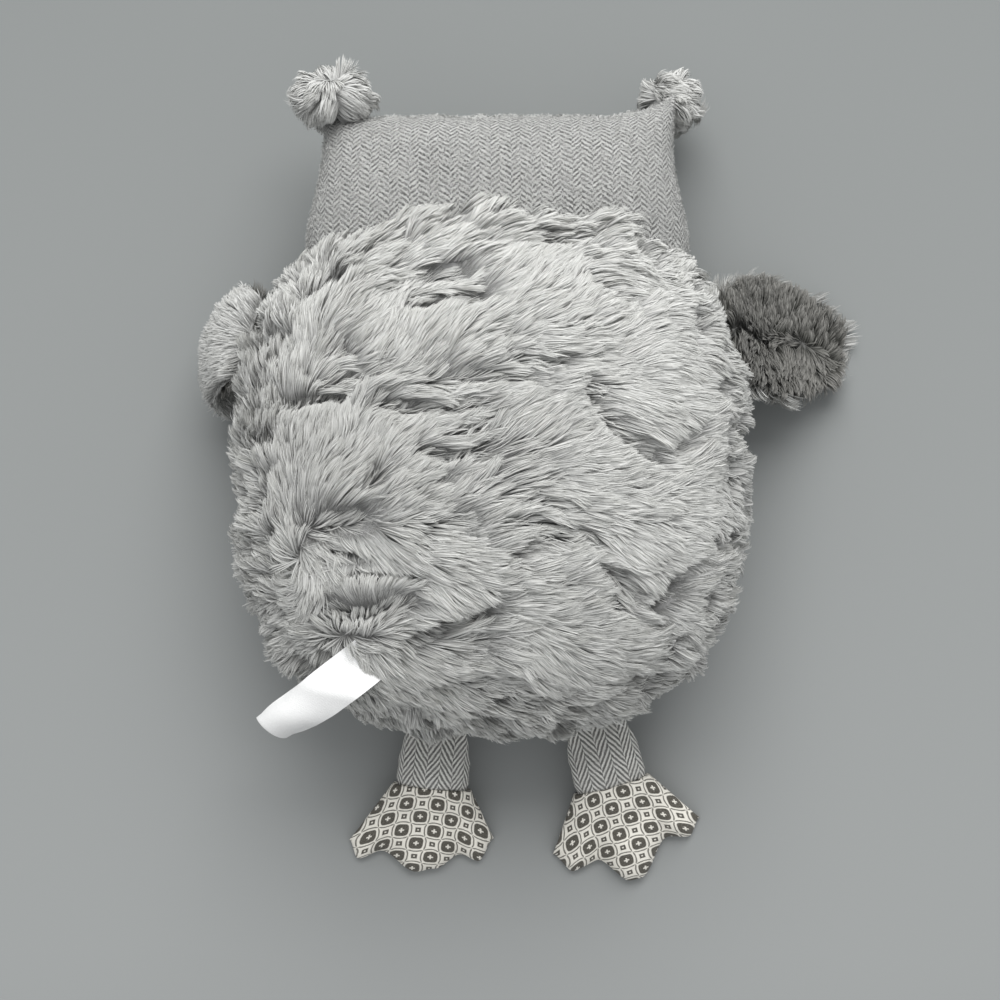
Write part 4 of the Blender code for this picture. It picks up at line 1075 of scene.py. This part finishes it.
def add_tuft(side, backing, light):
    """A ball of soft locks at an ear point, with one lock that stands up."""
    skin, middle = tuft_core(side, backing)
    rng = np.random.default_rng(TUFT_SEEDS[side])
    where, normals = scatter(skin, TUFT_SPACING, rng)
    sizes = (len(where) // TUFT_LOBES, TUFT_NARROW_LOCK)
    middles, (by_broad, by_lock) = two_locks(where, sizes, (5, 4), rng)
    crown = middle + np.array(TUFT_CROWNS[side])
    lobe = where[middles[0]]
    heads = 0.8 * unit(lobe - crown) + 0.3 * unit(where - crown)
    heads = along_skin(heads + 0.50 * by_broad[:3].T + 0.22 * by_lock[:3].T, normals)
    radius = np.linalg.norm(where - middle, axis=1)
    aside = np.linalg.norm(where - lobe, axis=1) / (radius * math.sqrt(4 / TUFT_LOBES))
    length = TUFT_LENGTH * rng.uniform(0.85, 1.08, len(where)) * (1 + 0.15 * by_broad[3])
    rise = TUFT_RISE * (1 + 0.35 * by_broad[4] + 0.25 * by_lock[3])
    rise = rise * rng.uniform(0.6, 1.1, len(where)) * (1.15 - 0.4 * smooth(aside))
    off_stray = where - middle - np.array(TUFT_STRAYS[side])
    stray = np.exp(-((off_stray**2).sum(1)) / TUFT_STRAY_SIZE**2)
    rise = rise * (1 - 0.7 * stray)
    heads = unit(heads * (1 - stray[:, None]) + np.array(TUFT_STRAY_HEADING) * stray[:, None])
    droop = TUFT_DROOP * length**2 / (2 * radius) * (1 - stray)
    lines = grow(where, normals, heads, length, rise, rng.normal(0, 0.12, len(where)), droop)
    gather(lines, heads, middles, TUFT_GATHERS)
    lines[..., 2] = np.maximum(lines[..., 2], PILE_LOWEST)
    tint = 0.5 * by_broad[0] + 0.5 * by_lock[3]
    name, body = f"ear_tuft_{side}_pile", f"{side}_ear_tuft"
    add_pile(name, lines, normals, tint, body, light, rng, TUFT_WIDTH)


# Face

PATCH_TRIM = 0.985
PATCH_THICKNESS = 0.0019
# The patch's section: shares of its radius, and of its thickness there
PATCH_SHARES = (0.12, 0.3, 0.5, 0.7, 0.85, 0.95, 1.0, 1.0, 0.95, 0.8, 0.5, 0.12)
PATCH_OUTS = (1.0, 1.0, 1.0, 1.0, 0.97, 0.85, 0.55, 0.2, 0.0, 0.0, 0.0, 0.0)
BEAK_HEIGHT = 0.0095
BEAK_RINGS = 22
BEAK_TAPER = 0.45


def face_height(x, y):
    v = (y - HEAD_MIDDLE) / HEAD_HALF_LENGTH
    u = (x - HEAD_SHIFT) / head_half_width(v)
    thin_u = (1 - np.abs(u) ** HEAD_WIDTH_POWER) ** (1 / HEAD_WIDTH_POWER)
    thin_v = (1 - np.abs(v) ** HEAD_LENGTH_POWER) ** (1 / HEAD_LENGTH_POWER)
    return HEAD_SEAM_HEIGHT - HEAD_FACE_DEPTH * thin_u * thin_v


def join_ends(bm):
    bmesh.ops.bridge_loops(bm, edges=[edge for edge in bm.edges if edge.is_boundary])


def add_eye_patch(side, felt):
    """A felt disc with an uneven rim, under the eye."""
    node = f"eye_patch_{side}"
    low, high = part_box(node)
    x, y = node_middle(node)[:2]
    turn = np.linspace(0, 2 * np.pi, 96, endpoint=False)
    wobble = 1 + 0.012 * np.sin(turn * 5) + 0.008 * np.sin(turn * 11 + 1)
    reach = (high.x - low.x) / 2 * PATCH_TRIM * np.array(PATCH_SHARES)[:, None] * wobble
    px, py = x + reach * np.cos(turn), y + reach * np.sin(turn)
    out = 0.0004 + PATCH_THICKNESS * np.array(PATCH_OUTS)[:, None]
    patch = grid_mesh(f"{node}_felt", np.stack([px, py, face_height(px, py) - out], -1), ring_faces)
    change_mesh(patch, join_ends)
    dress(patch, felt, "torso", node)


def add_beak(felt):
    """A half ball of felt that narrows towards its lower end."""
    low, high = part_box("beak")
    x, y = node_middle("beak")[:2]
    share = np.linspace(1, 0.02, BEAK_RINGS)[:, None]
    height = BEAK_HEIGHT * np.sqrt(1 - share**2)
    turn = np.linspace(0, 2 * np.pi, 64, endpoint=False)[None, :]
    across = np.cos(turn) * (1 - BEAK_TAPER * np.maximum(-np.sin(turn), 0))
    px = x + share * (high.x - low.x) / 2 * across
    py = y + share * (high.y - low.y) / 2 * np.sin(turn)
    out = 0.0006 + height * (1 + 0.08 * Ripple(0.004, 81)(px, py))
    beak = grid_mesh("beak_felt", np.stack([px, py, face_height(px, py) - out], -1), ring_faces)
    change_mesh(beak, fill_holes)
    dress(beak, felt, "torso", "beak", fill=0.9)


# Label

LABEL_LENGTH = 0.0740
LABEL_WIDTH = 0.0250
LABEL_BENDS = ((0.0, 0.12), (0.45, 0.30), (0.72, 1.10), (1.0, 1.30))  # radians over each half
LABEL_LEAVES = (0.24, -0.06)  # shares of the length at which its two edges start out of the pile
LABEL_LEAVING = 0.34  # the share over which they come out
LABEL_DIP = 0.0050  # of its sewn end under the pile's outer size
LABEL_SINK = 0.0095  # the most that it lies under its own free course
LABEL_SWING = 0.06  # how far its end turns aside, as a share of the way out
LABEL_SLOPE = math.radians(-13)
LABEL_FOLD = 0.006  # how far the fold bulges past the length, as a share of it
LABEL_DRIFT = 0.0020
LABEL_SLANT = 0.09  # how much shorter one edge is than the other, as a share of the length
LABEL_WAVE = 0.0014
LABEL_SAG = 0.0050
LABEL_ARCH = 0.0030
LABEL_ACROSS = (1.0, -1.0, 0.0)  # roughly the way that its width points


def label_axes():
    """The label's sewn place, and the directions along it, across it and up from it."""
    origin, across = joint_line("label_seam")
    out = np.cross(across, [0, 0, 1.0])
    if out @ (node_middle("care_label") - origin) < 0:
        out = -out
    if across @ np.array(LABEL_ACROSS) < 0:
        across = -across
    out, across = unit(out + LABEL_SWING * across), unit(across - LABEL_SWING * out)
    cos, sin = math.cos(LABEL_SLOPE), math.sin(LABEL_SLOPE)
    return origin, out * cos + np.array([0, 0, sin]), across, np.array([0, 0, cos]) - out * sin


def add_label(satin):
    """A bare satin loop, folded at its far end and sewn in at the other."""
    origin, along, across, upward = label_axes()
    steps = np.linspace(0, 1, 46)
    turn = np.linspace(0, np.pi, 7)[1:-1]
    share = np.concatenate([steps, 1 + LABEL_FOLD * np.sin(turn), steps[::-1]])[:, None]
    back = np.concatenate([0 * steps, (1 - np.cos(turn)) / 2, 1 + 0 * steps])[:, None]
    q = np.linspace(-1, 1, 22)[None, :]
    ajar = np.sin(np.pi * np.clip((share - 0.50) / 0.45, 0, 1)) * back
    bend = np.interp(share, *zip(*LABEL_BENDS)) * (1 - 0.30 * ajar)
    radius = LABEL_WIDTH / 2 / bend
    aside = radius * np.sin(bend * q) - LABEL_DRIFT * smooth((share - 0.5) / 0.5)
    drop = radius * (1 - np.cos(bend * q))
    slant = LABEL_SLANT * smooth((share - 0.55) / 0.45) * (0.5 + 0.5 * q)
    wave = LABEL_WAVE * np.sin(share * 9 + 0.8 * q)
    wave = wave * smooth(share / 0.3) * (1 - 0.6 * smooth(share * 2 - 1))
    sag = -LABEL_SAG * share**2 + LABEL_ARCH * np.sin(share * np.pi) + wave
    gap = 0.0004 - 0.0008 * back - 0.0022 * ajar
    grid = (
        origin
        + along * (LABEL_LENGTH * (share - slant))[..., None]
        + across * aside[..., None]
        + upward * (gap + sag - drop)[..., None]
    )
    spots = plan_to_map(grid[..., 0], grid[..., 1])
    under = body_surface(spots[..., 0], spots[..., 1])[..., 2] - LABEL_DIP + gap
    under = np.maximum(under, grid[..., 2] - LABEL_SINK)
    free = smooth((share - np.interp(q, (-1, 1), LABEL_LEAVES)) / LABEL_LEAVING)
    grid[..., 2] = under + (grid[..., 2] - under) * free
    label = grid_mesh("care_label_loop", grid, sheet_faces, cloth_places(grid))
    dress(label, satin, "label", "care_label")


# Materials


def dimmed(colour, share):
    return tuple(share * c for c in colour)


class Finish:
    """A material's nodes, with short ways to add them."""

    def __init__(self, name, roughness=0.9, specular=0.3, sheen=0.0):
        self.material = bpy.data.materials.new(name)
        self.material.use_nodes = True
        self.tree = self.material.node_tree
        self.shader = self.tree.nodes["Principled BSDF"]
        self.shader.inputs["Roughness"].default_value = roughness
        self.shader.inputs["Specular IOR Level"].default_value = specular
        self.shader.inputs["Sheen Weight"].default_value = sheen

    def feed(self, socket, value):
        if isinstance(value, bpy.types.NodeSocket):
            self.tree.links.new(value, socket)
        else:
            socket.default_value = (*value, 1) if isinstance(value, tuple) else value

    def put(self, kind, feeds, out=0, **settings):
        made = self.tree.nodes.new(kind)
        for key, value in settings.items():
            setattr(made, key, value)
        for key, value in feeds.items():
            self.feed(made.inputs[key], value)
        return made.outputs[out]

    def maths(self, operation, *values):
        return self.put("ShaderNodeMath", dict(enumerate(values)), operation=operation)

    def add(self, first, second):
        return self.maths("ADD", first, second)

    def less(self, first, second):
        return self.maths("SUBTRACT", first, second)

    def times(self, first, second):
        return self.maths("MULTIPLY", first, second)

    def axes(self, vector):
        split = self.tree.nodes.new("ShaderNodeSeparateXYZ")
        self.tree.links.new(vector, split.inputs[0])
        return split.outputs

    def map_axes(self, name):
        """The two axes of a UV map."""
        return self.axes(self.put("ShaderNodeUVMap", {}, uv_map=name))[:2]

    def place(self):
        return self.put("ShaderNodeTexCoord", {}, out="Object")

    def noise(self, scale, detail=2.0):
        feeds = {"Vector": self.place(), "Scale": scale, "Detail": detail}
        return self.put("ShaderNodeTexNoise", feeds, out="Fac")

    def jitter(self, scale, size, detail=2.0):
        """A smooth random offset either way."""
        return self.times(self.less(self.noise(scale, detail), 0.5), size)

    def spread(self, value, low, high, first=0.0, last=1.0):
        """A value between two limits as a share, held at both ends."""
        feeds = {"Value": value, "From Min": low, "From Max": high, "To Min": first, "To Max": last}
        return self.put("ShaderNodeMapRange", feeds, clamp=True)

    def norm(self, x, y, power):
        """How far out on a superellipse."""
        total = self.add(self.maths("POWER", x, power), self.maths("POWER", y, power))
        return self.maths("POWER", total, 1 / power)

    def ramp(self, value, stops):
        made = self.tree.nodes.new("ShaderNodeValToRGB")
        self.tree.links.new(value, made.inputs[0])
        line = made.color_ramp
        while len(line.elements) < len(stops):
            line.elements.new(0.5)
        for element, (at, colour) in zip(line.elements, stops):
            element.position = at
            element.color = (*colour, 1)
        return made.outputs[0]

    def mix(self, share, first, second, blend="MIX"):
        """A mix of two colours."""
        settings = {"data_type": "RGBA", "blend_type": blend}
        return self.put("ShaderNodeMix", {0: share, 6: first, 7: second}, out=2, **settings)

    def between(self, share, colour, low, high):
        """A colour that varies between two multiples of itself."""
        return self.mix(share, dimmed(colour, low), dimmed(colour, high))

    def colour(self, socket):
        self.tree.links.new(socket, self.shader.inputs["Base Color"])

    def bump(self, height, distance):
        bump = self.put("ShaderNodeBump", {"Height": height, "Distance": distance, "Strength": 1.0})
        self.tree.links.new(bump, self.shader.inputs["Normal"])
        return self.material


def pile_finish(name, root, middle, tip):
    """Strands that are dark at their roots, in slightly different greys: the dark roots are partly the
    fibres' own colour and partly painted shade for the recesses between the locks.
    """
    made = Finish(name, roughness=0.55, specular=0.25, sheen=0.1)
    u, v = made.map_axes("OFBake")
    # Painted shade in part: this ramp darkens each strand towards its root, where the pile's recesses lie
    # in shade
    along = made.ramp(v, ((0.0, root), (0.30, middle), (0.75, tip), (1.0, tip)))
    shade = made.ramp(u, ((0.0, (0.68, 0.68, 0.66)), (0.45, (0.93, 0.93, 0.93)), (1.0, (1.0, 1.0, 1.0))))
    made.colour(made.mix(1.0, along, shade, "MULTIPLY"))
    return made.material


def backing_finish(name, colour):
    made = Finish(name)
    made.colour(made.between(made.noise(900.0), colour, 0.75, 1.3))
    return made.bump(made.noise(1400.0), 0.0004)


def herringbone(made, columns, pitch, slope):
    """Diagonal yarns that turn back at each column, in columns of two widths: a wave across them."""
    first, second = columns
    u, v = made.map_axes("cloth")
    u = made.add(u, made.jitter(110.0, 0.0020))
    v = made.add(v, made.jitter(70.0, 0.0014))
    across = made.maths("FLOORED_MODULO", made.add(u, first / 2), first + second)
    there = made.times(made.maths("MINIMUM", across, first), slope)
    past = made.maths("MAXIMUM", made.less(across, first), 0.0)
    back = made.times(past, slope * first / second)
    jog = made.times(made.maths("GREATER_THAN", across, first), pitch / 2)
    line = made.maths("DIVIDE", made.add(v, made.add(made.less(there, back), jog)), pitch)
    return made.maths("SINE", made.times(line, math.tau))


def tweed_finish(name, columns, pitch, dark, light, slope, fuzz, haze):
    """A herringbone tweed: fuzz breaks its yarns up, and haze is how much worn patches hide."""
    made = Finish(name, roughness=0.95, specular=0.15, sheen=0.25)
    yarn = made.add(herringbone(made, columns, pitch, slope), made.jitter(800.0, fuzz, 3.0))
    yarn = made.spread(yarn, -0.50, 0.50)
    patchy = made.noise(45.0, 3.0)
    grey = made.between(patchy, dark, 0.85, 1.25)
    pale = made.between(patchy, light, 0.88, 1.10)
    worn = made.spread(made.noise(210.0), 0.42, 0.62, last=haze)
    middle = tuple(0.42 * a + 0.50 * b for a, b in zip(dark, light))
    cloth = made.mix(worn, made.mix(yarn, grey, pale), middle)
    hair = made.noise(2600.0, 0.0)
    made.colour(made.mix(made.times(hair, 0.22), cloth, light))
    return made.bump(made.add(yarn, made.times(hair, 0.8)), 0.0005)


def lattice_finish(name, width, height):
    """A woven lattice: big rounded squares and small ones by turns, outlined in cream."""
    cream, taupe = (0.92, 0.885, 0.80), (0.070, 0.064, 0.052)
    made = Finish(name, roughness=0.85, specular=0.2, sheen=0.1)
    wobble = made.jitter(260.0, 0.07)
    u, v = made.map_axes("cloth")
    u = made.add(made.maths("DIVIDE", u, width), wobble)
    v = made.add(made.maths("DIVIDE", v, height), wobble)
    x, y = (made.maths("ABSOLUTE", made.less(made.maths("FRACT", axis), 0.5)) for axis in (u, v))
    odd = made.maths("PINGPONG", made.add(made.maths("FLOOR", u), made.maths("FLOOR", v)), 1.0)
    most = made.maths("MAXIMUM", x, y)
    least = made.maths("MINIMUM", x, y)

    def within(value, high, low=-0.1, soft=0.02):
        up = made.spread(value, low - soft, low + soft)
        return made.times(up, made.spread(value, high - soft, high + soft, 1.0, 0.0))

    plus = made.times(within(least, 0.055), within(most, 0.17))
    big = made.less(within(made.norm(x, y, 3.5), 0.43), plus)
    dot = made.less(within(most, 0.17), within(most, 0.055))
    arc = made.norm(made.less(1.0, most), least, 2.6)
    little = made.maths("MAXIMUM", dot, made.times(within(arc, 0.640, 0.565, 0.015), 0.85))
    ink = made.put("ShaderNodeMix", {0: odd, 2: big, 3: little}, data_type="FLOAT")
    thread = made.noise(1900.0, 1.0)
    ink = made.times(ink, made.add(made.times(thread, 0.5), 0.72))
    dark = made.between(thread, taupe, 0.8, 1.5)
    pale = made.between(thread, cream, 0.86, 1.08)
    made.colour(made.mix(ink, pale, dark))
    return made.bump(made.add(made.times(ink, -1.0), made.times(thread, 0.5)), 0.0004)


def felt_finish(name, colour):
    made = Finish(name, roughness=0.95, specular=0.15, sheen=0.3)
    cloud = made.noise(140.0, 4.0)
    fibre = made.noise(1300.0, 3.0)
    shade = made.between(cloud, colour, 0.88, 1.12)
    made.colour(made.mix(made.times(fibre, 0.4), shade, dimmed(colour, 1.35)))
    return made.bump(made.add(fibre, cloud), 0.0006)


def satin_finish(name, rib_pitch):
    made = Finish(name, roughness=0.55, specular=0.3, sheen=0.1)
    along = made.map_axes("cloth")[1]
    rib = made.maths("SINE", made.times(along, math.tau / rib_pitch))
    thread = made.noise(1600.0, 1.0)
    made.colour(made.mix(thread, (0.75, 0.75, 0.745), (0.84, 0.84, 0.83)))
    return made.bump(made.add(made.times(rib, 0.3), thread), 0.00015)


def plastic_finish(name, colour, roughness):
    made = Finish(name, roughness=roughness, specular=0.5)
    scuff = made.noise(300.0, 3.0)
    made.colour(made.between(scuff, colour, 0.8, 1.15))
    made.shader.inputs["Coat Weight"].default_value = 0.3
    return made.bump(scuff, 0.00003)


# The room


def add_floor():
    side = FLOOR_HALF_SIDE
    corners = [(-side, -side, 0), (side, -side, 0), (side, side, 0), (-side, side, 0)]
    floor = make_mesh("floor", corners, [(0, 1, 2, 3)])
    made = Finish("pale_floor_with_painted_shade", roughness=0.7, specular=0.2)
    # Painted shade and light: the floor darkens towards the top of the picture and lightens towards the
    # bottom, with a faint mottle
    along = made.spread(made.axes(made.place())[1], *FLOOR_SHADE_FADE)
    share = made.add(along, made.times(made.noise(3.0), 0.1))
    made.colour(made.mix(share, FLOOR_TOP_SHADED_COLOUR, FLOOR_LOW_LIT_COLOUR))
    wear(floor, made.material)


def add_light():
    world = bpy.data.worlds.new("soft_room")
    world.use_nodes = True
    sky = world.node_tree.nodes["Background"]
    sky.inputs["Color"].default_value = WORLD_COLOUR
    sky.inputs["Strength"].default_value = WORLD_STRENGTH
    bpy.context.scene.world = world

    lamp = bpy.data.lights.new("key", "AREA")
    lamp.size = KEY_SIZE
    lamp.energy = KEY_POWER
    key = bpy.data.objects.new("key", lamp)
    key.location = KEY_PLACE
    aim = Vector((0, 0, BACK_LOW.z)) - Vector(KEY_PLACE)
    key.rotation_euler = aim.to_track_quat("-Z", "Y").to_euler()
    bpy.context.scene.collection.objects.link(key)


def add_camera():
    lens = bpy.data.cameras.new("camera")
    lens.lens = LENS_MM
    lens.sensor_width = SENSOR_MM
    lens.sensor_fit = "HORIZONTAL"
    camera = bpy.data.objects.new("camera", lens)
    camera.location = CAMERA_PLACE
    bpy.context.scene.collection.objects.link(camera)
    bpy.context.scene.camera = camera
    bpy.context.scene.view_settings.view_transform = "Standard"


def build():
    # Each pile's first colour is its root colour, partly the fibres' own and partly painted shade
    light = pile_finish("light_pile", (0.22, 0.22, 0.214), (0.46, 0.46, 0.445), (0.65, 0.65, 0.625))
    soft = pile_finish("soft_pile", (0.37, 0.37, 0.36), (0.50, 0.50, 0.485), (0.60, 0.60, 0.58))
    dark = pile_finish("dark_pile", (0.040, 0.040, 0.036), (0.080, 0.080, 0.071), (0.22, 0.215, 0.20))
    backing = backing_finish("backing", (0.25, 0.25, 0.245))
    soft_backing = backing_finish("soft_backing", (0.38, 0.38, 0.37))
    dark_backing = backing_finish("dark_backing", (0.12, 0.12, 0.115))
    head_tweed = tweed_finish(
        "head_tweed", (0.0062, 0.0048), 0.0031, (0.068, 0.068, 0.065), (0.47, 0.47, 0.455), 0.66, 4.6, 0.60
    )
    leg_tweed = tweed_finish(
        "leg_tweed", (0.0075, 0.0075), 0.0043, (0.08, 0.08, 0.075), (0.80, 0.79, 0.75), -1.5, 2.2, 0.25
    )
    lattice = lattice_finish("lattice", 0.0090, 0.0084)
    cream_felt = felt_finish("cream_felt", (0.62, 0.59, 0.53))
    dark_felt = felt_finish("dark_felt", (0.12, 0.115, 0.11))
    satin = satin_finish("white_satin", 0.0006)
    black = plastic_finish("black_plastic", (0.012, 0.012, 0.012), 0.12)
    white = plastic_finish("white_plastic", (0.7, 0.7, 0.68), 0.5)

    back_pile(light)
    body_skins(backing, head_tweed)
    head_panels(head_tweed, soft)
    for side, wing_backing in (("left", soft_backing), ("right", dark_backing)):
        add_leg(side, leg_tweed)
        add_foot(side, lattice)
        add_wing(side, wing_backing, soft, dark)
        add_tuft(side, soft_backing, soft)
        add_eye_patch(side, cream_felt)
        wear(frame["nodes"][f"eye_washer_{side}"], white)
        wear(frame["nodes"][f"eye_{side}"], black)
    add_beak(dark_felt)
    add_label(satin)
    add_floor()
    add_light()
    add_camera()


build()
bpy.context.view_layer.update()
